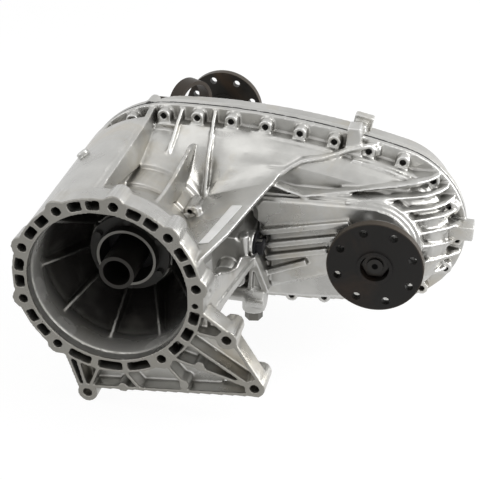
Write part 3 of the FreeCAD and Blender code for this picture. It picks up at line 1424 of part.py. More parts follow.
def hanger_ring():
    """Ring on a foot that is screwed to the rear case wall."""
    turn = math.radians(size.hanger_turn)
    axis = Vector(math.sin(turn), -math.cos(turn), 0)
    middle = Vector(size.hanger_x, size.hanger_y, size.hanger_z)
    base = middle - axis * (size.hanger_width / 2)
    ring = Part.makeCylinder(size.hanger_radius, size.hanger_width, base, axis)
    back = size.chest_back
    foot = Part.makeBox(36, size.hanger_foot, 38, Vector(size.hanger_x - 45, back,
                                                        size.hanger_z - 20))
    neck = Part.makeBox(14, 10, 16, Vector(size.hanger_x - 25, back + size.hanger_foot - 1,
                                           size.hanger_z - 8))
    hole = Part.makeCylinder(size.hanger_radius - size.hanger_wall, size.hanger_width + 40,
                             base - axis * 20, axis)
    holes = [cylinder(x, z, back - 1, back + size.hanger_foot + 1, size.screw_radius + 0.3)
             for x, z in hanger_screw_spots()]
    return joined([ring, foot, neck]).cut([hole] + holes)


def tone_ring():
    start, end = size.tone_front, size.tone_front + size.tone_width
    count = int(size.tone_teeth)
    body = cylinder(0, 0, start, end, size.tone_radius)
    cuts = [cylinder(0, 0, start - 1, end + 1, size.rear_journal)]
    for k in range(count):
        angle = 360 * k / count
        cuts.append(sector(size.tone_radius - 4, size.tone_radius + 2, angle,
                           angle + 180 / count, start - 1, end + 1))
    return body.cut(cuts)


def speed_sensor():
    y = size.tone_front + size.tone_width / 2
    down = Vector(0, 0, -1)
    stem = Part.makeCylinder(8, 34, Vector(0, y, -size.tone_radius - 1), down)
    head = Part.makeCylinder(12, 10, Vector(0, y, -56), down)
    plug = Part.makeBox(20, 14, 12, Vector(-10, y - 7, -78))
    return joined([stem, head, plug])


feature("tail_housing", tail_housing())
feature("tail_screws", Part.makeCompound([
    bolt(x, z, size.rear_boss_back + size.tail_flange, size.tail_flange + 16,
         size.screw_radius, size.screw_flats + 2, 6) for x, z in tail_screws()]))
turned("tail_seal", [("tail_back - 2 - seal_depth", "tail_back - 2", "tail_hub + seal_width")],
       [("tail_back - 3 - seal_depth", "tail_back", "tail_hub + running")])
feature("tone_ring", tone_ring())
feature("speed_sensor", speed_sensor())
feature("hanger_ring", hanger_ring())
feature("hanger_screws", Part.makeCompound([
    bolt(x, z, size.chest_back + size.hanger_foot, size.hanger_foot + 5, size.screw_radius,
         size.screw_flats + 2, 6) for x, z in hanger_screw_spots()]))


# Oil pick-up, plugs, breather and the blank label.

def plug_z(seat, z_down):
    down = Vector(0, 0, -1)
    x, y = size.plug_x, size.plug_y
    return joined([Part.makeCylinder(PLUG_RADIUS, 16, Vector(x, y, seat + 15), down),
                   Part.makeCylinder(size.plug_flats * 0.6, 2, Vector(x, y, seat), down),
                   upright_hexagon(x, y, seat - 1, seat - z_down, size.plug_flats)])


def upright_hexagon(x, y, top, low, flats):
    corners = []
    for k in range(6):
        a, b = ring_point(flats / math.sqrt(3), 60 * k + 12, (x, y))
        corners.append(Vector(a, b, low))
    return Part.Face(Part.makePolygon(corners + corners[:1])).extrude(Vector(0, 0, top - low))


feature("drain_plug", plug_z(size.plug_seat, 13))
feature("fill_plug", bolt(*FILL_PLUG, size.chest_back, 9.5, PLUG_RADIUS, size.plug_flats, 9))
SUMP = -93
feature("pickup_tube", Part.makeCylinder(
    5, -SUMP - size.pump_radius + 3, Vector(0, size.pump_front + 10, SUMP + 5), Vector(0, 0, 1)).cut(
    cylinder(0, 0, size.pump_front - 1, size.chest_back, size.pump_radius)))
feature("oil_filter", Part.makeBox(44, 18, 8, Vector(-22, size.pump_front + 1, SUMP - 3)))
turned("breather", [("chest_back", "chest_back + 6", "7"), ("chest_back + 5", "chest_back + 22", "4"),
                    ("chest_back + 16", "chest_back + 19", "5")],
       [("chest_back + 8", "chest_back + 23", "2")], "breather")


def label():
    """Blank label on the shelf, between two stations of its flat part."""
    rows = []
    for along in (0.15, 0.85):
        ends = []
        for which in (3, 4):
            first, last = SHELF[1], SHELF[2]
            start = Vector(first[which][0], first[0], first[which][1])
            stop = Vector(last[which][0], last[0], last[which][1])
            ends.append(start * (1 - along) + stop * along)
        rows.append([ends[0] * (1 - across) + ends[1] * across for across in (0.1, 0.8)])
    normal = (rows[0][1] - rows[0][0]).cross(rows[1][0] - rows[0][0]).normalize()
    if normal.z < 0:
        normal = normal * -1
    return lofted([[first + normal * 0.1, last + normal * 0.1, last + normal * 0.6,
                    first + normal * 0.6] for first, last in rows])


feature("blank_label", label())
document.recompute()

os.makedirs("parts", exist_ok=True)
NODES = [thing for thing in document.Objects
         if hasattr(thing, "Shape") and not thing.InList and thing.TypeId != "Spreadsheet::Sheet"]
for thing in document.Objects:
    if "Invalid" in thing.State or "Error" in thing.State:
        raise RuntimeError(f"{thing.Name} failed: {thing.State}")
for thing in NODES:
    if thing.Shape.isNull() or not thing.Shape.isValid() or not thing.Shape.Solids:
        raise RuntimeError(f"{thing.Label} has no valid solid")
    thing.Shape.exportStep(f"parts/{thing.Label}.step")
print(len(NODES), "sub-parts")
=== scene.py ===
import math

import bmesh
import bpy
from mathutils import Matrix, Vector
from mathutils.bvhtree import BVHTree


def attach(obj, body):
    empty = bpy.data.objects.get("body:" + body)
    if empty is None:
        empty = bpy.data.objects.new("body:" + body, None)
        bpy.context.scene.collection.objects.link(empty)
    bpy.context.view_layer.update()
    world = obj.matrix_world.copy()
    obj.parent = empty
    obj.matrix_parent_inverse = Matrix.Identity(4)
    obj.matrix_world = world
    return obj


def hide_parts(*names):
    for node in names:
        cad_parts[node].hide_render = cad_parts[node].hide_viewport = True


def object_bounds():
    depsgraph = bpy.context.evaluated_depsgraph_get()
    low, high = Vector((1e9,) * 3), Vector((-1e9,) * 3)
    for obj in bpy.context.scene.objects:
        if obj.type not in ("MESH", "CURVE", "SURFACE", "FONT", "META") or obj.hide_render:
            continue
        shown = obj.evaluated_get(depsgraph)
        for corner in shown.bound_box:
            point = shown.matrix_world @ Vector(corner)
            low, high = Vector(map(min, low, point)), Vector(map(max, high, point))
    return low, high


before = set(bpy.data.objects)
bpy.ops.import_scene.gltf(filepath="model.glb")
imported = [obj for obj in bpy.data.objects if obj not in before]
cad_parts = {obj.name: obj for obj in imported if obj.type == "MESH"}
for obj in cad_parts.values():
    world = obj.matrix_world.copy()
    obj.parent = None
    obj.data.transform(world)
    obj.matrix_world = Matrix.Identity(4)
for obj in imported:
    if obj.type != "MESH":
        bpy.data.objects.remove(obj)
packed_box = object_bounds()
MM = 0.001

# The camera
# It stands in front of the bell, to its right and above it, where the photograph was taken from,
# and the picture is square.
camera_data = bpy.data.cameras.new("camera")
camera_data.sensor_width = 36
camera_data.lens = 89.67
camera_data.clip_end = 60
camera = bpy.data.objects.new("camera", camera_data)
bpy.context.scene.collection.objects.link(camera)
camera.location = (0.4340, -1.1261, 0.7291)
turned = math.radians(13.6)
raised = math.radians(29.0)
back = Vector((
    math.sin(turned) * math.cos(raised), -math.cos(turned) * math.cos(raised), math.sin(raised)
))
camera.rotation_euler = (-back).to_track_quat("-Z", "Y").to_euler()
bpy.context.scene.camera = camera
bpy.context.scene.view_settings.view_transform = "Standard"


# The studio
# A wide pale floor under the housing and an even white surround. Broad soft lamps at the right and behind
# pick out the ribs, and weaker ones above, at the left and in front fill the shadows.
def add_node(tree, kind, named=None, **inputs):
    """A node of that kind in the tree, with its options and its unlinked values."""
    node = tree.nodes.new(kind)
    for option, value in (named or {}).items():
        setattr(node, option, value)
    for socket, value in inputs.items():
        node.inputs[socket.replace("_", " ")].default_value = value
    return node


floor_level = packed_box[0].z
floor_half = 6
floor_glow = 1.06
floor_glow_share = 0.88
bm = bmesh.new()
bmesh.ops.create_grid(bm, x_segments=1, y_segments=1, size=floor_half)
bmesh.ops.translate(bm, verts=bm.verts, vec=(0.15, 0.2, floor_level))
floor_mesh = bpy.data.meshes.new("floor")
bm.to_mesh(floor_mesh)
bm.free()
floor = bpy.data.objects.new("floor", floor_mesh)
bpy.context.scene.collection.objects.link(floor)
floor_paint = bpy.data.materials.new("floor_paint")
floor_paint.use_nodes = True
tree = floor_paint.node_tree
tree.nodes.clear()
matt = add_node(tree, "ShaderNodeBsdfDiffuse", Color=(0.92, 0.92, 0.92, 1))
lit = add_node(tree, "ShaderNodeEmission", Color=(1, 1, 1, 1), Strength=floor_glow)
rays = add_node(tree, "ShaderNodeLightPath")
mirrored = add_node(tree, "ShaderNodeMath", {"operation": "MULTIPLY"})
where = add_node(tree, "ShaderNodeNewGeometry")
axes = add_node(tree, "ShaderNodeSeparateXYZ")
behind = add_node(tree, "ShaderNodeMapRange", From_Min=-0.32, From_Max=0.12, To_Min=0.28, To_Max=0.85)
seen = add_node(tree, "ShaderNodeMath", {"operation": "MAXIMUM"})
share = add_node(tree, "ShaderNodeMath", {"operation": "MULTIPLY"})
share.inputs[1].default_value = floor_glow_share
blend = add_node(tree, "ShaderNodeMixShader")
out = add_node(tree, "ShaderNodeOutputMaterial")
# the metal mirrors a dimmer floor in front of the bell and a paler one behind it
tree.links.new(where.outputs["Position"], axes.inputs[0])
tree.links.new(axes.outputs["Y"], behind.inputs["Value"])
tree.links.new(behind.outputs["Result"], mirrored.inputs[1])
# the camera sees it white, apart from the share that takes the object's shadow
tree.links.new(rays.outputs["Is Camera Ray"], seen.inputs[0])
tree.links.new(rays.outputs["Is Glossy Ray"], mirrored.inputs[0])
tree.links.new(mirrored.outputs[0], seen.inputs[1])
tree.links.new(seen.outputs[0], share.inputs[0])
tree.links.new(share.outputs[0], blend.inputs[0])
tree.links.new(matt.outputs[0], blend.inputs[1])
tree.links.new(lit.outputs[0], blend.inputs[2])
tree.links.new(blend.outputs[0], out.inputs["Surface"])
floor_mesh.materials.append(floor_paint)

# the surround lights the object softly, and is plain white where it is seen or mirrored
world = bpy.data.worlds.new("surround")
bpy.context.scene.world = world
world.use_nodes = True
tree = world.node_tree
tree.nodes.clear()
rays = add_node(tree, "ShaderNodeLightPath")
seen = add_node(tree, "ShaderNodeMath", {"operation": "MAXIMUM"})
clear = add_node(tree, "ShaderNodeMath", {"operation": "MAXIMUM"})
power = add_node(tree, "ShaderNodeMapRange", To_Min=0.40, To_Max=1.0)
sky = add_node(tree, "ShaderNodeBackground", Color=(1, 1, 1, 1))
out = add_node(tree, "ShaderNodeOutputWorld")
tree.links.new(rays.outputs["Is Camera Ray"], seen.inputs[0])
tree.links.new(rays.outputs["Is Glossy Ray"], seen.inputs[1])
tree.links.new(seen.outputs[0], clear.inputs[0])
tree.links.new(rays.outputs["Is Transmission Ray"], clear.inputs[1])
tree.links.new(clear.outputs[0], power.inputs["Value"])
tree.links.new(power.outputs["Result"], sky.inputs["Strength"])
tree.links.new(sky.outputs[0], out.inputs["Surface"])

# round lamps: where each one stands, what it points at, its width and its power
for name, spot, aim, size, watts in (
    ("top_lamp", (-0.5, 0.2, 1.7), (0.15, 0.2, 0.0), 1.4, 4),
    ("left_lamp", (-1.5, -1.0, 0.8), (0.1, 0.1, 0.0), 0.8, 4),
    ("front_lamp", (0.75, -1.6, 0.25), (0.1, 0.05, 0.0), 0.7, 2.5),
    ("right_lamp", (1.4, 0.45, 1.0), (0.1, 0.2, 0.0), 1.4, 16),
    ("back_lamp", (1.7, 1.1, 0.35), (0.1, 0.2, 0.0), 0.9, 14),
):
    lamp_data = bpy.data.lights.new(name, "AREA")
    lamp_data.shape = "DISK"
    lamp_data.size = size
    lamp_data.energy = watts
    lamp = bpy.data.objects.new(name, lamp_data)
    bpy.context.scene.collection.objects.link(lamp)
    lamp.location = spot
    lamp.rotation_euler = (Vector(aim) - Vector(spot)).to_track_quat("-Z", "Y").to_euler()


# The front casting
# One piece of die-cast aluminium: the open bell, the barrel with its stepped top, the ribbed chest
# and the lip that takes the case bolts. It is shot-blasted, and only its joint faces are machined.
def group(name, inputs, outputs):
    """A new shader node group with these named values in and out."""
    tree = bpy.data.node_groups.new(name, "ShaderNodeTree")
    for socket, value in inputs.items():
        made = tree.interface.new_socket(name=socket, in_out="INPUT", socket_type="NodeSocketFloat")
        made.default_value = value
    for socket, kind in outputs.items():
        tree.interface.new_socket(name=socket, in_out="OUTPUT", socket_type=kind)
    return tree, tree.nodes.new("NodeGroupInput"), tree.nodes.new("NodeGroupOutput")


def use_group(tree, name, **inputs):
    """That group placed in a material, with its own values."""
    node = tree.nodes.new("ShaderNodeGroup")
    node.node_tree = bpy.data.node_groups[name]
    for socket, value in inputs.items():
        node.inputs[socket.replace("_", " ")].default_value = value
    return node


# blotches: broad and fine unevenness of a metal skin, and stained patches on it
tree, source, result = group(
    "skin_unevenness",
    {"Broad Scale": 18.0, "Fine Scale": 420.0},
    {"Broad": "NodeSocketFloat", "Fine": "NodeSocketFloat", "Stain": "NodeSocketFloat"},
)
place = add_node(tree, "ShaderNodeTexCoord")
broad = add_node(tree, "ShaderNodeTexNoise", Detail=4.0, Roughness=0.6)
fine = add_node(tree, "ShaderNodeTexNoise", Detail=3.0, Roughness=0.65)
patch = add_node(tree, "ShaderNodeTexNoise", Scale=9.0, Detail=5.0, Roughness=0.7, Distortion=0.6)
patch_cut = add_node(tree, "ShaderNodeMapRange", From_Min=0.52, From_Max=0.72)
for texture in (broad, fine, patch):
    tree.links.new(place.outputs["Object"], texture.inputs["Vector"])
tree.links.new(source.outputs["Broad Scale"], broad.inputs["Scale"])
tree.links.new(source.outputs["Fine Scale"], fine.inputs["Scale"])
tree.links.new(patch.outputs["Fac"], patch_cut.inputs["Value"])
tree.links.new(broad.outputs["Fac"], result.inputs["Broad"])
tree.links.new(fine.outputs["Fac"], result.inputs["Fine"])
tree.links.new(patch_cut.outputs["Result"], result.inputs["Stain"])

# hollows: how deep in a corner a point lies, for the dirt that collects there and the painted shade laid
# with it
tree, source, result = group("hollow_dirt_and_shade", {"Reach": 0.012}, {"Hollow": "NodeSocketFloat"})
shade = add_node(tree, "ShaderNodeAmbientOcclusion", {"samples": 6, "only_local": True})
depth = add_node(tree, "ShaderNodeMapRange", From_Min=0.75, From_Max=0.25)
tree.links.new(source.outputs["Reach"], shade.inputs["Distance"])
tree.links.new(shade.outputs["AO"], depth.inputs["Value"])
tree.links.new(depth.outputs["Result"], result.inputs["Hollow"])

# edges: where the skin turns outwards or inwards sharply, for worn edges that double as painted highlights
# and for dirt lines that double as painted shade
tree, source, result = group(
    "edges_and_corners", {"Sharpness": 1.0}, {"Edge": "NodeSocketFloat", "Corner": "NodeSocketFloat"}
)
form = add_node(tree, "ShaderNodeNewGeometry")
outwards = add_node(tree, "ShaderNodeMapRange", From_Min=0.515, From_Max=0.58)
inwards = add_node(tree, "ShaderNodeMapRange", From_Min=0.485, From_Max=0.42)
for turn, socket in ((outwards, "Edge"), (inwards, "Corner")):
    scaled = add_node(tree, "ShaderNodeMath", {"operation": "MULTIPLY", "use_clamp": True})
    tree.links.new(form.outputs["Pointiness"], turn.inputs["Value"])
    tree.links.new(turn.outputs["Result"], scaled.inputs[0])
    tree.links.new(source.outputs["Sharpness"], scaled.inputs[1])
    tree.links.new(scaled.outputs[0], result.inputs[socket])


def mix_in(tree, colour_from, share_from, amount, colour):
    """A colour laid over another by a mask, and how much of it at most."""
    share = add_node(tree, "ShaderNodeMath", {"operation": "MULTIPLY"})
    share.inputs[1].default_value = amount
    tree.links.new(share_from, share.inputs[0])
    mixed = add_node(tree, "ShaderNodeMix", {"data_type": "RGBA"})
    mixed.inputs[7].default_value = (*colour, 1)
    tree.links.new(share.outputs[0], mixed.inputs[0])
    tree.links.new(colour_from, mixed.inputs[6])
    return mixed.outputs[2]


def blotched(tree, skin, colour, **limits):
    """The metal's own colour, made lighter and darker by its broad blotches."""
    tone = add_node(tree, "ShaderNodeMapRange", **limits)
    tree.links.new(skin.outputs["Broad"], tone.inputs["Value"])
    base = add_node(tree, "ShaderNodeMix", {"data_type": "RGBA", "blend_type": "MULTIPLY"})
    base.inputs[0].default_value = 1
    base.inputs[6].default_value = (*colour, 1)
    tree.links.new(tone.outputs["Result"], base.inputs[7])
    return base.outputs[2]


def uneven_gloss(tree, skin, smoothest, roughest):
    """A roughness that runs between two values by the same blotches."""
    gloss = add_node(tree, "ShaderNodeMapRange", To_Min=smoothest, To_Max=roughest)
    tree.links.new(skin.outputs["Broad"], gloss.inputs["Value"])
    tree.links.new(gloss.outputs["Result"], tree.nodes["Principled BSDF"].inputs["Roughness"])


def cast_metal(name, colour, stain, dirt_and_shade, rough, metal, bump):
    """Blasted cast aluminium with blotches, yellowed patches, corners and hollows darkened as dirt and
    painted shade, and pale worn edges that are also painted highlights.
    """
    material = bpy.data.materials.new(name)
    material.use_nodes = True
    tree = material.node_tree
    shader = tree.nodes["Principled BSDF"]
    skin = use_group(tree, "skin_unevenness", Broad_Scale=16.0, Fine_Scale=520.0)
    hollow = use_group(tree, "hollow_dirt_and_shade", Reach=0.013)
    turns = use_group(tree, "edges_and_corners", Sharpness=1.0)
    # the corner colour darkens hollows and creases as dirt and painted shade; the pale bare colour lightens
    # sharp edges as wear and painted highlight
    rubbed_bare_and_highlight = (0.8, 0.8, 0.79)
    base = blotched(tree, skin, colour, From_Min=0.3, From_Max=0.7, To_Min=0.80, To_Max=1.12)
    stained = mix_in(tree, base, skin.outputs["Stain"], 0.45, stain)
    dirtied_and_shaded = mix_in(tree, stained, hollow.outputs["Hollow"], 0.8, dirt_and_shade)
    lined = mix_in(tree, dirtied_and_shaded, turns.outputs["Corner"], 0.5, dirt_and_shade)
    worn_and_highlit = mix_in(tree, lined, turns.outputs["Edge"], 0.6, rubbed_bare_and_highlight)
    tree.links.new(worn_and_highlit, shader.inputs["Base Color"])
    uneven_gloss(tree, skin, rough - 0.08, rough + 0.10)
    shader.inputs["Metallic"].default_value = metal
    grain = add_node(tree, "ShaderNodeBump", Strength=bump, Distance=0.0004)
    tree.links.new(skin.outputs["Fine"], grain.inputs["Height"])
    tree.links.new(grain.outputs["Normal"], shader.inputs["Normal"])
    return material


def cast_copy(node, additions, voxel, rounds, triangles, material):
    """A casting's form with what is added melted in, and its corners rounded as castings have them."""
    bm = bmesh.new()
    bm.from_mesh(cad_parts[node].data)
    bmesh.ops.remove_doubles(bm, verts=bm.verts, dist=2e-6)
    if additions:
        bm.from_mesh(additions)
    mesh = bpy.data.meshes.new(node + "_cast")
    bm.to_mesh(mesh)
    bm.free()
    piece = bpy.data.objects.new(node + "_cast", mesh)
    bpy.context.scene.collection.objects.link(piece)
    melt = piece.modifiers.new("melt", "REMESH")
    melt.mode = "VOXEL"
    melt.voxel_size = voxel
    melt.adaptivity = 0
    soften = piece.modifiers.new("soften", "SMOOTH")
    soften.factor = 0.5
    soften.iterations = rounds
    depsgraph = bpy.context.evaluated_depsgraph_get()
    melted = len(piece.evaluated_get(depsgraph).data.polygons) * 2
    thin = piece.modifiers.new("thin", "DECIMATE")
    thin.ratio = min(1.0, triangles / melted)
    depsgraph = bpy.context.evaluated_depsgraph_get()
    whole = bpy.data.meshes.new_from_object(piece.evaluated_get(depsgraph))
    piece.modifiers.clear()
    piece.data = whole
    whole.shade_smooth()
    whole.materials.clear()
    whole.materials.append(material)
    return piece


def mask_by_place(tree, measure, low, high):
    """A mask that runs from 0 at the first value of a measure of place to 1 at the second."""
    step = add_node(tree, "ShaderNodeMapRange", From_Min=low, From_Max=high)
    tree.links.new(measure, step.inputs["Value"])
    return step.outputs["Result"]


def joined(tree, operation, first, second):
    """Two masks multiplied, or the stronger of the two."""
    both = add_node(tree, "ShaderNodeMath", {"operation": operation})
    tree.links.new(first, both.inputs[0])
    tree.links.new(second, both.inputs[1])
    return both.outputs[0]


def times(tree, first, second):
    """Two masks multiplied."""
    return joined(tree, "MULTIPLY", first, second)


def between(tree, measure, none, full, full_until, none_from):
    """A mask that rises between two values of a measure of place and falls between two others."""
    return times(tree, mask_by_place(tree, measure, none, full),
                 mask_by_place(tree, measure, none_from, full_until))


blasted_aluminium = (0.50, 0.495, 0.475)
# the dark colour of dirt in the corners, which also serves as painted shade there
corner_dirt_and_shade = (0.09, 0.083, 0.07)
front_alloy = cast_metal("front_alloy", colour=blasted_aluminium, stain=(0.44, 0.38, 0.27),
                         dirt_and_shade=corner_dirt_and_shade, rough=0.28, metal=0.80, bump=0.4)
# where a point of the bell lies: how far behind its joint face, and how far from its axis
tree = front_alloy.node_tree
shader = tree.nodes["Principled BSDF"]
place = add_node(tree, "ShaderNodeTexCoord")
axes = add_node(tree, "ShaderNodeSeparateXYZ")
flat = add_node(tree, "ShaderNodeCombineXYZ")
radius = add_node(tree, "ShaderNodeVectorMath", {"operation": "LENGTH"})
tree.links.new(place.outputs["Object"], axes.inputs[0])
tree.links.new(axes.outputs["X"], flat.inputs["X"])
tree.links.new(axes.outputs["Z"], flat.inputs["Z"])
tree.links.new(flat.outputs[0], radius.inputs[0])
inward = axes.outputs["Y"]
off_axis = radius.outputs["Value"]
# the cone inside narrows from here back, by this much for each length of depth
cone_start = 0.054
cone_slope = 0.544
pad_radius = 0.0155
past_rim = add_node(tree, "ShaderNodeMath", {"operation": "SUBTRACT"})
past_rim.inputs[1].default_value = cone_start
tree.links.new(inward, past_rim.inputs[0])
from_rim = add_node(tree, "ShaderNodeMath", {"operation": "MAXIMUM"})
from_rim.inputs[1].default_value = 0.0
tree.links.new(past_rim.outputs[0], from_rim.inputs[0])
widened = add_node(tree, "ShaderNodeMath", {"operation": "MULTIPLY_ADD"})
widened.inputs[1].default_value = cone_slope
tree.links.new(from_rim.outputs[0], widened.inputs[0])
tree.links.new(off_axis, widened.inputs[2])
within = mask_by_place(tree, widened.outputs[0], 0.1005, 0.0985)
inside = times(tree, within, between(tree, inward, 0.018, 0.062, 0.134, 0.142))
# the milled joint face, the turned bore behind it, painted pale partly as a highlight, and the hollow
# pockets between the bolts, painted dark as shade
milled = mask_by_place(tree, inward, 0.0022, 0.0012)
bored = times(tree, mask_by_place(tree, off_axis, 0.1015, 0.1005),
              between(tree, inward, 0.0022, 0.0028, 0.016, 0.019))
pocket = times(tree, between(tree, off_axis, 0.1015, 0.1025, 0.1155, 0.1165),
               between(tree, inward, 0.003, 0.012, 0.022, 0.026))
# painted highlights: round pale spots in the mouth, at the bolt bosses
pad_highlights = None
for spot in (
    (-0.084, 0.020, 0.036), (-0.088, 0.020, -0.025), (-0.057, 0.020, -0.067), (0.050, 0.020, -0.078),
):
    reach = add_node(tree, "ShaderNodeVectorMath", {"operation": "DISTANCE"})
    reach.inputs[1].default_value = spot
    tree.links.new(place.outputs["Object"], reach.inputs[0])
    pad = mask_by_place(tree, reach.outputs["Value"], pad_radius + 0.002, pad_radius)
    pad_highlights = pad if pad_highlights is None else joined(tree, "MAXIMUM", pad_highlights, pad)
pad_highlights = times(tree, pad_highlights, within)
# painted shade in the cone, paler in random patches, and painted light on the mouth at the lower left
patch_noise = use_group(tree, "skin_unevenness", Broad_Scale=24.0, Fine_Scale=300.0)
paler_patches = times(tree, inside, mask_by_place(tree, patch_noise.outputs["Broad"], 0.50, 0.66))
slant = add_node(tree, "ShaderNodeMath", {"operation": "ADD"})
tree.links.new(axes.outputs["X"], slant.inputs[0])
tree.links.new(axes.outputs["Z"], slant.inputs[1])
painted_lit_mouth = times(tree, times(tree, within, between(tree, inward, 0.012, 0.016, 0.016, 0.060)),
              mask_by_place(tree, slant.outputs[0], 0.075, -0.05))
colour = shader.inputs["Base Color"].links[0].from_socket
# layered in turn: the milled face; painted shade in the pockets and the cone, paler in patches; the bore,
# the pads and the mouth made pale, partly or wholly as painted light
for mask, amount, shade in (
    (milled, 0.85, (0.24, 0.23, 0.205)),
    (pocket, 0.9, (0.045, 0.042, 0.036)),
    (bored, 0.85, (0.78, 0.77, 0.73)),
    (inside, 0.93, (0.035, 0.033, 0.03)),
    (paler_patches, 0.45, (0.28, 0.275, 0.25)),
    (pad_highlights, 0.75, (0.6, 0.59, 0.56)),
    (painted_lit_mouth, 0.8, (0.58, 0.57, 0.54)),
    (pad_highlights, 0.7, (0.72, 0.71, 0.68)),
):
    colour = mix_in(tree, colour, mask, amount, shade)
tree.links.new(colour, shader.inputs["Base Color"])
# the painted-light mouth is also less metallic, and oil makes the cone evenly glossy
metal_lost = -0.5
mouth_metallic = add_node(tree, "ShaderNodeMath", {"operation": "MULTIPLY_ADD"})
mouth_metallic.inputs[1].default_value = metal_lost
mouth_metallic.inputs[2].default_value = shader.inputs["Metallic"].default_value
tree.links.new(painted_lit_mouth, mouth_metallic.inputs[0])
tree.links.new(mouth_metallic.outputs[0], shader.inputs["Metallic"])
skin_gloss = shader.inputs["Roughness"].links[0].from_socket
oily_rough = 0.24
gloss = add_node(tree, "ShaderNodeMix", {"data_type": "FLOAT"})
gloss.inputs[3].default_value = oily_rough
tree.links.new(inside, gloss.inputs[0])
tree.links.new(skin_gloss, gloss.inputs[2])
tree.links.new(gloss.outputs[0], shader.inputs["Roughness"])


def fin(bm, path, thick):
    """A rib that stands on the wall, thicker at its root: each point of the path, in millimetres, gives
    its front edge (x, y, z) and how far back it goes."""
    root = 1.5
    end = None
    held = []
    for number, (x, y, z, rear) in enumerate(path):
        before = path[max(number - 1, 0)]
        after = path[min(number + 1, len(path) - 1)]
        along = Vector((after[0] - before[0], 0, after[2] - before[2])).normalized()
        half = Vector((-along.z, 0, along.x)) * thick / 2
        corners = [corner * MM for corner in (
            Vector((x, y, z)) - half, Vector((x, y, z)) + half, Vector((x, rear, z)) + half * root,
            Vector((x, rear, z)) - half * root)]
        if end is None:
            end = bm.faces.new([bm.verts.new(corner) for corner in corners])
        else:
            grown = bmesh.ops.extrude_face_region(bm, geom=[end])["geom"]
            end = [part for part in grown if isinstance(part, bmesh.types.BMFace)][0]
            for vert in end.verts:
                near = min(range(4), key=lambda corner: (held[corner] - vert.co).length)
                vert.co = corners[near]
        held = corners


def post(bm, foot, head, foot_radius, head_radius):
    """A round post or boss between two points, in millimetres."""
    axis = Vector(head) - Vector(foot)
    turn = axis.to_track_quat("Z", "Y").to_matrix().to_4x4()
    place = Matrix.Translation((Vector(foot) + Vector(head)) / 2 * MM) @ turn
    bmesh.ops.create_cone(bm, cap_ends=True, segments=28, radius1=foot_radius * MM,
                          radius2=head_radius * MM, depth=axis.length * MM, matrix=place)


def web(bm, corners, thick):
    """A flat web of metal with these corners, in millimetres."""
    points = [Vector(corner) * MM for corner in corners]
    across = (points[1] - points[0]).cross(points[2] - points[0]).normalized() * thick * MM
    side = bm.faces.new([bm.verts.new(point + across / 2) for point in points])
    grown = bmesh.ops.extrude_face_region(bm, geom=[side])["geom"]
    grown_corners = [part for part in grown if isinstance(part, bmesh.types.BMVert)]
    bmesh.ops.translate(bm, verts=grown_corners, vec=-across)


rib_thick = 2.6
step_thick = 2.2
edge_thick = 4.5
bm = bmesh.new()
# the long curved ribs round the front output, and the ledge that crosses them
for path in (
    [(149, 168, 75, 182), (165, 170, 71, 184), (182, 171, 65, 185), (199, 172, 60, 186),
     (213, 173, 62, 187), (244, 183, 65, 197), (280, 191, 70, 205), (310, 199, 73, 213),
     (336, 206, 77, 220), (350, 222, 75, 236), (360, 240, 74, 254)],
    [(254, 170, 58, 184), (275, 174, 61, 188), (300, 180, 63, 194), (323, 194, 61, 208),
     (349, 207, 60, 221), (363, 226, 58, 240), (372, 243, 58, 257)],
    [(320, 175, 50, 189), (340, 192, 47, 206), (359, 206, 45, 220), (372, 229, 41, 243),
     (381, 246, 41, 260)],
    [(331, 177, 37, 191), (353, 195, 35, 209), (372, 212, 33, 226), (381, 227, 32, 241),
     (389, 243, 30, 257)],
    [(339, 176, 21, 190), (357, 193, 18, 207), (375, 212, 15, 226), (383, 222, 14, 236),
     (390, 234, 12, 248)],
    [(347, 178, 4, 192), (363, 195, -1, 209), (377, 212, -5, 226), (385, 225, -7, 239),
     (393, 238, -10, 252)],
    [(354, 187, -21, 201), (365, 199, -24, 213), (375, 212, -26, 226), (385, 226, -29, 240),
     (394, 245, -35, 259)],
    [(346, 232, 62, 238), (360, 228, 46, 234), (370, 235, 31, 242), (374, 229, 19, 235),
     (377, 223, 3, 230), (377, 218, -8, 225), (374, 215, -29, 221)],
):
    fin(bm, path, rib_thick)
# the steps along the chest's upper slope
for path in (
    [(251, 227, 94, 234), (265, 229, 92, 236), (286, 230, 87, 237), (305, 230, 82, 237),
     (322, 230, 77, 237), (337, 220, 76, 227)],
    [(252, 221, 93, 228), (264, 222, 90, 229), (285, 221, 86, 228), (304, 220, 81, 227),
     (322, 220, 75, 227), (334, 210, 75, 217)],
    [(118, 233, 112, 239), (158, 230, 108, 236), (197, 230, 103, 236), (229, 229, 98, 235),
     (249, 229, 94, 235)],
):
    fin(bm, path, step_thick)
# the thick edge that runs from the shelf to the lip
fin(bm, [(169, 184, 81, 192), (180, 195, 87, 204), (192, 201, 93, 210), (204, 205, 95, 214),
         (217, 210, 96, 219), (233, 222, 98, 231), (249, 227, 104, 236), (266, 233, 106, 242),
         (280, 247, 104, 256)], edge_thick)
# the broad gusset beside the bell, with its thick edge and the round boss in front of it
web(bm, [(119, 32, 10), (124, 50, 12), (133, 84, -6), (138, 102, 5), (143, 122, -5), (136, 95, -28),
         (130, 74, -34), (121, 39, -45), (116, 21, 2)], 4)
post(bm, (143, 124, -6), (121, 39, -45), 3.0, 3.0)
post(bm, (112, 20, -2), (114, 62, -4), 9, 8)
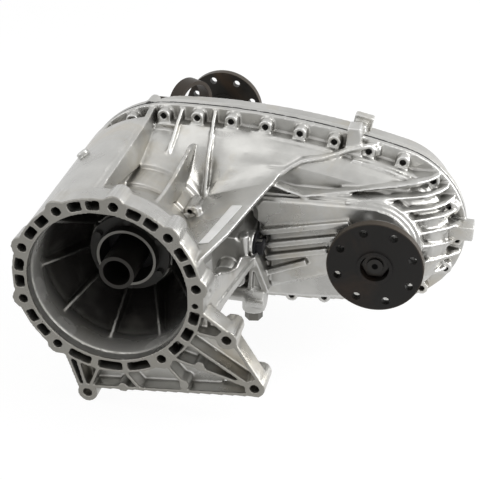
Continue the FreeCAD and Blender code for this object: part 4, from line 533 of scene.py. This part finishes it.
# the small truss beside the gusset, the round boss under it and the pillar over it
web(bm, [(147, 133, -16), (161, 133, -52), (150, 133, -60), (141, 133, -56), (144, 133, -20)], 3)
post(bm, (149, 129, -16), (161, 129, -50), 2.0, 2.0)
post(bm, (145, 129, -18), (142, 129, -56), 2.0, 2.0)
post(bm, (138, 135, -70), (163, 135, -70), 14.5, 14.5)
post(bm, (136, 127, -4), (136, 127, 22), 6.2, 6.0)
# the small round mark on top of the barrel
post(bm, (79, 121, 50), (79, 121, 58), 7.0, 5.5)
bmesh.ops.recalc_face_normals(bm, faces=bm.faces)
added = bpy.data.meshes.new("front_case_added")
bm.to_mesh(added)
bm.free()
front = cast_copy("front_case", added, voxel=1.5 * MM, rounds=2, triangles=190000, material=front_alloy)
# the dome is one smooth sweep between its ridge and the lip
dome_rounds = 40
bm = bmesh.new()
bm.from_mesh(front.data)
dome = [v for v in bm.verts if 0.0825 < v.co.x < 0.150 and 0.175 < v.co.y < 0.238 and v.co.z > 0.078]
for _ in range(dome_rounds):
    bmesh.ops.smooth_vert(bm, verts=dome, factor=0.5, use_axis_x=True, use_axis_y=True, use_axis_z=True)
bm.to_mesh(front.data)
bm.free()
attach(front, "case")
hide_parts("front_case")


# The rear casting
# The other half of the housing, of the same alloy, which closes the chest and carries the tail.
rear_alloy = cast_metal("rear_alloy", colour=blasted_aluminium, stain=(0.42, 0.37, 0.27),
                        dirt_and_shade=corner_dirt_and_shade, rough=0.32, metal=0.78, bump=0.3)
# a square tab stands on its top beside the front half's block
tab_place = Matrix.Translation((0.255, 0.291, 0.1165))
tab_lean = Matrix.Rotation(math.radians(11), 4, "Y")
tab_size = Matrix.Diagonal((0.0245, 0.013, 0.020, 1))
bm = bmesh.new()
bmesh.ops.create_cube(bm, size=1, matrix=tab_place @ tab_lean @ tab_size)
added = bpy.data.meshes.new("rear_case_added")
bm.to_mesh(added)
bm.free()
rear = cast_copy("rear_case", added, voxel=1.5 * MM, rounds=2, triangles=120000, material=rear_alloy)
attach(rear, "case")
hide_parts("rear_case")


# The tail housing
# A short aluminium casting over the rear output, held on by six screws.
tail_alloy = cast_metal("tail_alloy", colour=(0.52, 0.515, 0.5), stain=(0.4, 0.36, 0.28),
                        dirt_and_shade=corner_dirt_and_shade, rough=0.36, metal=0.8, bump=0.25)
tail = cast_copy("tail_housing", None, voxel=1.3 * MM, rounds=2, triangles=60000, material=tail_alloy)
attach(tail, "case")
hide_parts("tail_housing")


# The sealant bead
# Black silicone, laid between the two castings before they are bolted and squeezed out as they close. It
# shows as a thin uneven line.
def paint(node, material):
    """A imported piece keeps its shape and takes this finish."""
    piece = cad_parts[node]
    if not piece.material_slots:
        piece.data.materials.append(material)
    for place in piece.material_slots:
        place.material = material


def machined_metal(name, colour, mark, rough, metal, marked, edge=0.0006):
    """A turned, forged or moulded skin with faint blotches, stains and softly rounded edges."""
    material = bpy.data.materials.new(name)
    material.use_nodes = True
    tree = material.node_tree
    shader = tree.nodes["Principled BSDF"]
    skin = use_group(tree, "skin_unevenness", Broad_Scale=45.0, Fine_Scale=900.0)
    base = blotched(tree, skin, colour, To_Min=0.75, To_Max=1.2)
    spotted = mix_in(tree, base, skin.outputs["Stain"], marked, mark)
    tree.links.new(spotted, shader.inputs["Base Color"])
    uneven_gloss(tree, skin, max(0.05, rough - 0.1), rough + 0.12)
    shader.inputs["Metallic"].default_value = metal
    shader.inputs["Specular IOR Level"].default_value = 0.25
    rounded = add_node(tree, "ShaderNodeBevel", {"samples": 4}, Radius=edge)
    grain = add_node(tree, "ShaderNodeBump", Strength=0.2, Distance=0.0002)
    tree.links.new(skin.outputs["Fine"], grain.inputs["Height"])
    tree.links.new(rounded.outputs["Normal"], grain.inputs["Normal"])
    tree.links.new(grain.outputs["Normal"], shader.inputs["Normal"])
    return material


silicone_black = (0.02, 0.02, 0.02)
bead = machined_metal(
    "bead", colour=silicone_black, mark=(0.2, 0.2, 0.19),
    rough=0.55, metal=0.0, marked=0.8, edge=0.0002
)
paint("case_sealant", bead)
# what oozed from the joint and was wiped off, along both castings' edges
joint = 0.2602
for alloy in (front_alloy, rear_alloy):
    tree = alloy.node_tree
    shader = tree.nodes["Principled BSDF"]
    where = add_node(tree, "ShaderNodeTexCoord")
    split = add_node(tree, "ShaderNodeSeparateXYZ")
    apart = add_node(tree, "ShaderNodeMath", {"operation": "SUBTRACT"})
    apart.inputs[1].default_value = joint
    gap = add_node(tree, "ShaderNodeMath", {"operation": "ABSOLUTE"})
    tree.links.new(where.outputs["Object"], split.inputs[0])
    tree.links.new(split.outputs["Y"], apart.inputs[0])
    tree.links.new(apart.outputs[0], gap.inputs[0])
    ooze = use_group(tree, "skin_unevenness", Broad_Scale=70.0, Fine_Scale=300.0)
    seam = times(tree, mask_by_place(tree, gap.outputs[0], 0.0024, 0.0016),
                 mask_by_place(tree, ooze.outputs["Broad"], 0.42, 0.50))
    skin = shader.inputs["Base Color"].links[0].from_socket
    tree.links.new(mix_in(tree, skin, seam, 0.9, silicone_black), shader.inputs["Base Color"])


# The case bolts and dowels
# Flanged steel bolts driven from behind, their tips painted dark as shade in the open holes of the front
# lip, and two ground pins that set the castings to each other.
def place_mask(material, axis, low, high, colour, amount):
    """A tint on the part of a piece past a place along one axis, none at low and full at high."""
    tree = material.node_tree
    shader = tree.nodes["Principled BSDF"]
    where = add_node(tree, "ShaderNodeTexCoord")
    split = add_node(tree, "ShaderNodeSeparateXYZ")
    tree.links.new(where.outputs["Object"], split.inputs[0])
    skin = shader.inputs["Base Color"].links[0].from_socket
    tinted = mix_in(tree, skin, mask_by_place(tree, split.outputs[axis], low, high), amount, colour)
    tree.links.new(tinted, shader.inputs["Base Color"])


bolt_zinc = machined_metal(
    "bolt_zinc", colour=(0.42, 0.41, 0.39), mark=(0.25, 0.2, 0.13),
    rough=0.38, metal=0.9, marked=0.5
)
# the tips in the lip's open holes are painted near black as shade
place_mask(bolt_zinc, "Y", low=0.2585, high=0.2575, colour=(0.008, 0.008, 0.008), amount=0.97)
paint("case_bolts", bolt_zinc)
dowel_steel = machined_metal(
    "dowel_steel", colour=(0.5, 0.5, 0.49), mark=(0.3, 0.28, 0.24),
    rough=0.25, metal=1.0, marked=0.2
)
paint("case_dowels", dowel_steel)


# The input bearing retainer
# A black-oiled steel tube with a flange on six screws; the rim of the tube is bare and bright.
retainer_steel = machined_metal(
    "retainer_steel", colour=(0.022, 0.021, 0.019), mark=(0.05, 0.045, 0.035),
    rough=0.34, metal=0.2, marked=0.5
)
place_mask(retainer_steel, "Y", low=0.0760, high=0.0754, colour=(0.36, 0.35, 0.32), amount=0.6)
paint("bearing_retainer", retainer_steel)
screw_steel = machined_metal(
    "screw_steel", colour=(0.03, 0.029, 0.027), mark=(0.06, 0.05, 0.04),
    rough=0.4, metal=0.3, marked=0.4
)
paint("retainer_screws", screw_steel)


# The rubber seals
# Black nitrile lips pressed into the retainer, the two output bores and the shift boss.
nitrile = machined_metal(
    "nitrile", colour=(0.016, 0.016, 0.016), mark=(0.04, 0.038, 0.036),
    rough=0.5, metal=0.0, marked=0.3, edge=0.0003
)
for name in ("input_seal", "front_output_seal", "tail_seal", "sector_seal"):
    paint(name, nitrile)


# The ball bearings
# Ground chrome steel rings and balls, oiled: two bearings on each of the two shaft lines, and the small
# pilot and sprocket bearings between shafts.
race_steel = machined_metal(
    "race_steel", colour=(0.6, 0.6, 0.59), mark=(0.42, 0.4, 0.36),
    rough=0.16, metal=1.0, marked=0.2, edge=0.0004
)
for name in (
    "input_bearing_outer", "input_bearing_inner", "rear_bearing_outer", "rear_bearing_inner",
    "front_bearing_outer", "front_bearing_inner", "end_bearing_outer", "end_bearing_inner",
    "pilot_bearing", "sprocket_bearing",
):
    paint(name, race_steel)


# The planetary reduction
# Case-hardened gears straw-tinted by the oil: the ring gear, the four planets on their pins, and the
# carrier with its steel washer.
planet_steel = machined_metal(
    "planet_steel", colour=(0.40, 0.385, 0.36), mark=(0.26, 0.21, 0.14),
    rough=0.28, metal=0.95, marked=0.4
)
for name in ("annulus_gear", "planet_gear_1", "planet_gear_2", "planet_gear_3", "planet_gear_4"):
    paint(name, planet_steel)
carrier_steel = machined_metal(
    "carrier_steel", colour=(0.3, 0.29, 0.275), mark=(0.17, 0.14, 0.1),
    rough=0.36, metal=0.9, marked=0.4
)
paint("planet_carrier", carrier_steel)
pin_steel = machined_metal(
    "pin_steel", colour=(0.52, 0.515, 0.5), mark=(0.35, 0.31, 0.25),
    rough=0.2, metal=1.0, marked=0.2
)
paint("planet_pins", pin_steel)
washer_steel = machined_metal(
    "washer_steel", colour=(0.33, 0.32, 0.3), mark=(0.2, 0.17, 0.12),
    rough=0.32, metal=0.9, marked=0.3
)
paint("thrust_washer", washer_steel)


# The input shaft
# A forged steel shaft with a hollow front end, dark from oil and heat.
input_steel = machined_metal(
    "input_steel", colour=(0.012, 0.011, 0.01), mark=(0.05, 0.045, 0.038),
    rough=0.32, metal=0.2, marked=0.4
)
place_mask(input_steel, "Y", low=0.0392, high=0.0386, colour=(0.04, 0.037, 0.032), amount=0.6)
paint("input_shaft", input_steel)


# The oil pump, its pipe and the filter
# A sintered iron pump round the main shaft, a straight steel pipe down into the sump, and a flat nylon
# strainer at its foot.
pump_iron = machined_metal(
    "pump_iron", colour=(0.2, 0.195, 0.185), mark=(0.12, 0.1, 0.075),
    rough=0.5, metal=0.7, marked=0.5
)
paint("oil_pump", pump_iron)
pipe_steel = machined_metal(
    "pipe_steel", colour=(0.45, 0.44, 0.42), mark=(0.28, 0.24, 0.17),
    rough=0.3, metal=0.9, marked=0.4
)
paint("pickup_tube", pipe_steel)
filter_nylon = machined_metal(
    "filter_nylon", colour=(0.02, 0.021, 0.024), mark=(0.05, 0.045, 0.04),
    rough=0.45, metal=0.0, marked=0.3
)
paint("oil_filter", filter_nylon)


# The tail screws, the bush, the speed sensor and its ring
# Six zinc screws hold the tail on; a bronze bush carries the flange's sleeve; the sensor is black nylon
# and reads the toothed iron ring on the shaft.
tail_zinc = machined_metal(
    "tail_zinc", colour=(0.42, 0.41, 0.39), mark=(0.26, 0.2, 0.12),
    rough=0.36, metal=0.9, marked=0.5
)
paint("tail_screws", tail_zinc)
bush_bronze = machined_metal(
    "bush_bronze", colour=(0.52, 0.36, 0.16), mark=(0.3, 0.18, 0.08),
    rough=0.3, metal=1.0, marked=0.35
)
paint("tail_bush", bush_bronze)
sensor_nylon = machined_metal(
    "sensor_nylon", colour=(0.014, 0.014, 0.016), mark=(0.045, 0.042, 0.04),
    rough=0.42, metal=0.0, marked=0.3
)
paint("speed_sensor", sensor_nylon)
tone_iron = machined_metal(
    "tone_iron", colour=(0.22, 0.215, 0.2), mark=(0.14, 0.11, 0.07),
    rough=0.42, metal=0.8, marked=0.5
)
paint("tone_ring", tone_iron)


# The hanger ring
# A short steel tube in a rubbed rust-brown finish, on a foot that two screws hold to the rear wall.
ring_steel = machined_metal(
    "ring_steel", colour=(0.05, 0.041, 0.033), mark=(0.075, 0.03, 0.015),
    rough=0.46, metal=0.4, marked=0.9
)
paint("hanger_ring", ring_steel)
hanger_zinc = machined_metal(
    "hanger_zinc", colour=(0.3, 0.29, 0.27), mark=(0.2, 0.14, 0.08),
    rough=0.4, metal=0.8, marked=0.6
)
paint("hanger_screws", hanger_zinc)


# The drain plug, the fill plug and the breather
# Hexagon plugs of plain dark steel with worn edges, and a small plated vent tube on the back of the
# rear half.
plug_steel = machined_metal(
    "plug_steel", colour=(0.16, 0.155, 0.14), mark=(0.09, 0.07, 0.045),
    rough=0.36, metal=0.75, marked=0.6, edge=0.0009
)
paint("drain_plug", plug_steel)
paint("fill_plug", plug_steel)
breather_zinc = machined_metal(
    "breather_zinc", colour=(0.4, 0.39, 0.36), mark=(0.28, 0.22, 0.13),
    rough=0.34, metal=0.85, marked=0.5
)
paint("breather", breather_zinc)


# The label
# A plain white paper sticker, left blank, stuck along the edge of the shelf and pressed onto the
# casting's curve.
label_paper = machined_metal(
    "label_paper", colour=(0.97, 0.97, 0.96), mark=(0.85, 0.84, 0.81),
    rough=0.5, metal=0.0, marked=0.25, edge=0.0001
)
corners = [Vector(spot) for spot in (
    (0.0985, 0.043, 0.0497), (0.1142, 0.0410, 0.0535), (0.1385, 0.1177, 0.0685), (0.1205, 0.1250, 0.0630),
)]
glue = 0.0004
paper = 0.0003
pressed_times = 6
casting_skin = BVHTree.FromPolygons(
    [v.co for v in front.data.vertices], [p.vertices[:] for p in front.data.polygons]
)
bm = bmesh.new()
bmesh.ops.create_grid(bm, x_segments=8, y_segments=30, size=1)
for vert in bm.verts:
    across = (vert.co.x + 1) / 2
    along = (vert.co.y + 1) / 2
    near = corners[0].lerp(corners[1], across)
    far = corners[3].lerp(corners[2], across)
    found, normal, _, _ = casting_skin.find_nearest(near.lerp(far, along))
    vert.co = found + normal * glue
for _ in range(pressed_times):
    bmesh.ops.smooth_vert(bm, verts=bm.verts, factor=0.4, use_axis_x=True, use_axis_y=True, use_axis_z=True)
bmesh.ops.recalc_face_normals(bm, faces=bm.faces)
bmesh.ops.solidify(bm, geom=bm.faces[:], thickness=-paper)
label_mesh = bpy.data.meshes.new("blank_sticker")
bm.to_mesh(label_mesh)
bm.free()
label_mesh.shade_smooth()
label_mesh.materials.append(label_paper)
label = bpy.data.objects.new("blank_sticker", label_mesh)
bpy.context.scene.collection.objects.link(label)
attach(label, "case")
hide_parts("blank_label")


# The chain and its sprockets
# A silent chain of dark rolled plates round two cut steel wheels, all wet with oil.
chain_steel = machined_metal(
    "chain_steel", colour=(0.12, 0.115, 0.105), mark=(0.2, 0.18, 0.15),
    rough=0.34, metal=0.8, marked=0.5
)
paint("drive_chain", chain_steel)
sprocket_steel = machined_metal(
    "sprocket_steel", colour=(0.34, 0.33, 0.31), mark=(0.2, 0.16, 0.11),
    rough=0.32, metal=0.9, marked=0.4
)
paint("drive_sprocket", sprocket_steel)
paint("driven_sprocket", sprocket_steel)


# The main shaft and the front output shaft
# Turned and ground forgings; the front one's threaded end is black with oil and has a centre hole, painted
# black as shade.
def round_mask(material, centre, low, high, colour, amount):
    """A tint by the distance from a fore-and-aft axis through this x and z, none at low, full at high."""
    tree = material.node_tree
    shader = tree.nodes["Principled BSDF"]
    where = add_node(tree, "ShaderNodeTexCoord")
    moved = add_node(tree, "ShaderNodeVectorMath", {"operation": "SUBTRACT"})
    moved.inputs[1].default_value = (centre[0], 0, centre[1])
    flattened = add_node(tree, "ShaderNodeVectorMath", {"operation": "MULTIPLY"})
    flattened.inputs[1].default_value = (1, 0, 1)
    length = add_node(tree, "ShaderNodeVectorMath", {"operation": "LENGTH"})
    tree.links.new(where.outputs["Object"], moved.inputs[0])
    tree.links.new(moved.outputs[0], flattened.inputs[0])
    tree.links.new(flattened.outputs[0], length.inputs[0])
    skin = shader.inputs["Base Color"].links[0].from_socket
    tinted = mix_in(tree, skin, mask_by_place(tree, length.outputs["Value"], low, high), amount, colour)
    tree.links.new(tinted, shader.inputs["Base Color"])


front_output_axis = (0.297, -0.010)
main_axis = (0.0, 0.0)
shaft_steel = machined_metal(
    "shaft_steel", colour=(0.38, 0.37, 0.35), mark=(0.22, 0.18, 0.12),
    rough=0.3, metal=0.9, marked=0.4
)
paint("main_shaft", shaft_steel)
front_shaft_steel = machined_metal(
    "front_shaft_steel", colour=(0.36, 0.35, 0.33), mark=(0.2, 0.16, 0.11),
    rough=0.3, metal=0.9, marked=0.4
)
place_mask(front_shaft_steel, "Y", low=0.161, high=0.159, colour=(0.022, 0.021, 0.02), amount=0.96)
# the centre hole is a black disc, painted shade
centre_hole_shade = (0.002, 0.002, 0.002)
round_mask(front_shaft_steel, front_output_axis, low=0.0042, high=0.0036, colour=centre_hole_shade,
           amount=1.0)
paint("front_output_shaft", front_shaft_steel)


# The output flanges and their nuts
# Forged flanges with eight bolt holes, blackened and rubbed brown at the rim, each held by a thin nut.
rim_brown = (0.07, 0.055, 0.04)
flange_steel = machined_metal(
    "flange_steel", colour=(0.009, 0.008, 0.007), mark=(0.03, 0.018, 0.011),
    rough=0.5, metal=0.05, marked=0.7, edge=0.001
)
round_mask(flange_steel, front_output_axis, low=0.0582, high=0.0598, colour=rim_brown, amount=0.7)
paint("front_output_flange", flange_steel)
rear_flange_steel = machined_metal(
    "rear_flange_steel", colour=(0.028, 0.026, 0.023), mark=(0.07, 0.045, 0.028),
    rough=0.4, metal=0.3, marked=0.7
)
round_mask(rear_flange_steel, main_axis, low=0.0582, high=0.0598, colour=rim_brown, amount=0.7)
paint("rear_output_flange", rear_flange_steel)
nut_steel = machined_metal(
    "nut_steel", colour=(0.03, 0.028, 0.026), mark=(0.06, 0.045, 0.03),
    rough=0.3, metal=0.4, marked=0.5, edge=0.0010
)
paint("front_nut", nut_steel)
paint("rear_nut", nut_steel)


# The shift parts
# Hardened collars on the main shaft line, moved by two forks on the rail, which the sector shaft slides.
collar_steel = machined_metal(
    "collar_steel", colour=(0.42, 0.41, 0.38), mark=(0.25, 0.2, 0.14),
    rough=0.26, metal=0.95, marked=0.35
)
paint("range_collar", collar_steel)
paint("mode_collar", collar_steel)
fork_iron = machined_metal(
    "fork_iron", colour=(0.24, 0.235, 0.22), mark=(0.14, 0.11, 0.08),
    rough=0.48, metal=0.7, marked=0.5
)
paint("range_fork", fork_iron)
paint("mode_fork", fork_iron)
rail_steel = machined_metal(
    "rail_steel", colour=(0.5, 0.495, 0.48), mark=(0.3, 0.26, 0.2),
    rough=0.2, metal=1.0, marked=0.25
)
paint("shift_rail", rail_steel)
sector_steel = machined_metal(
    "sector_steel", colour=(0.36, 0.35, 0.33), mark=(0.2, 0.16, 0.11),
    rough=0.34, metal=0.9, marked=0.4
)
paint("sector_shaft", sector_steel)


# The shift cap
# A square black nylon cap pushed over the end of the sector shaft, with a thin dark washer under it.
cap_nylon = machined_metal(
    "cap_nylon", colour=(0.012, 0.012, 0.014), mark=(0.04, 0.04, 0.042),
    rough=0.36, metal=0.0, marked=0.3, edge=0.0008
)
cap_place = Matrix.Translation((0.1518, 0.149, -0.0040))
cap_size = Matrix.Diagonal((0.0104, 0.0165, 0.0165, 1))
washer_place = Matrix.Translation((0.1465, 0.150, -0.002)) @ Matrix.Rotation(math.pi / 2, 4, "Y")
washer_radius = 0.0165
washer_thick = 0.0014
cap_rounding = 0.0014
bm = bmesh.new()
bmesh.ops.create_cube(bm, size=1, matrix=cap_place @ cap_size)
bmesh.ops.bevel(bm, geom=bm.edges[:], offset=cap_rounding, segments=2, affect="EDGES", profile=0.5,
                material=-1)
bmesh.ops.create_cone(bm, cap_ends=True, segments=40, radius1=washer_radius, radius2=washer_radius,
                      depth=washer_thick, matrix=washer_place)
cap_mesh = bpy.data.meshes.new("shift_cap")
bm.to_mesh(cap_mesh)
bm.free()
cap_mesh.materials.append(cap_nylon)
cap = bpy.data.objects.new("shift_cap", cap_mesh)
bpy.context.scene.collection.objects.link(cap)
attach(cap, "sector")
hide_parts("sector_cap")
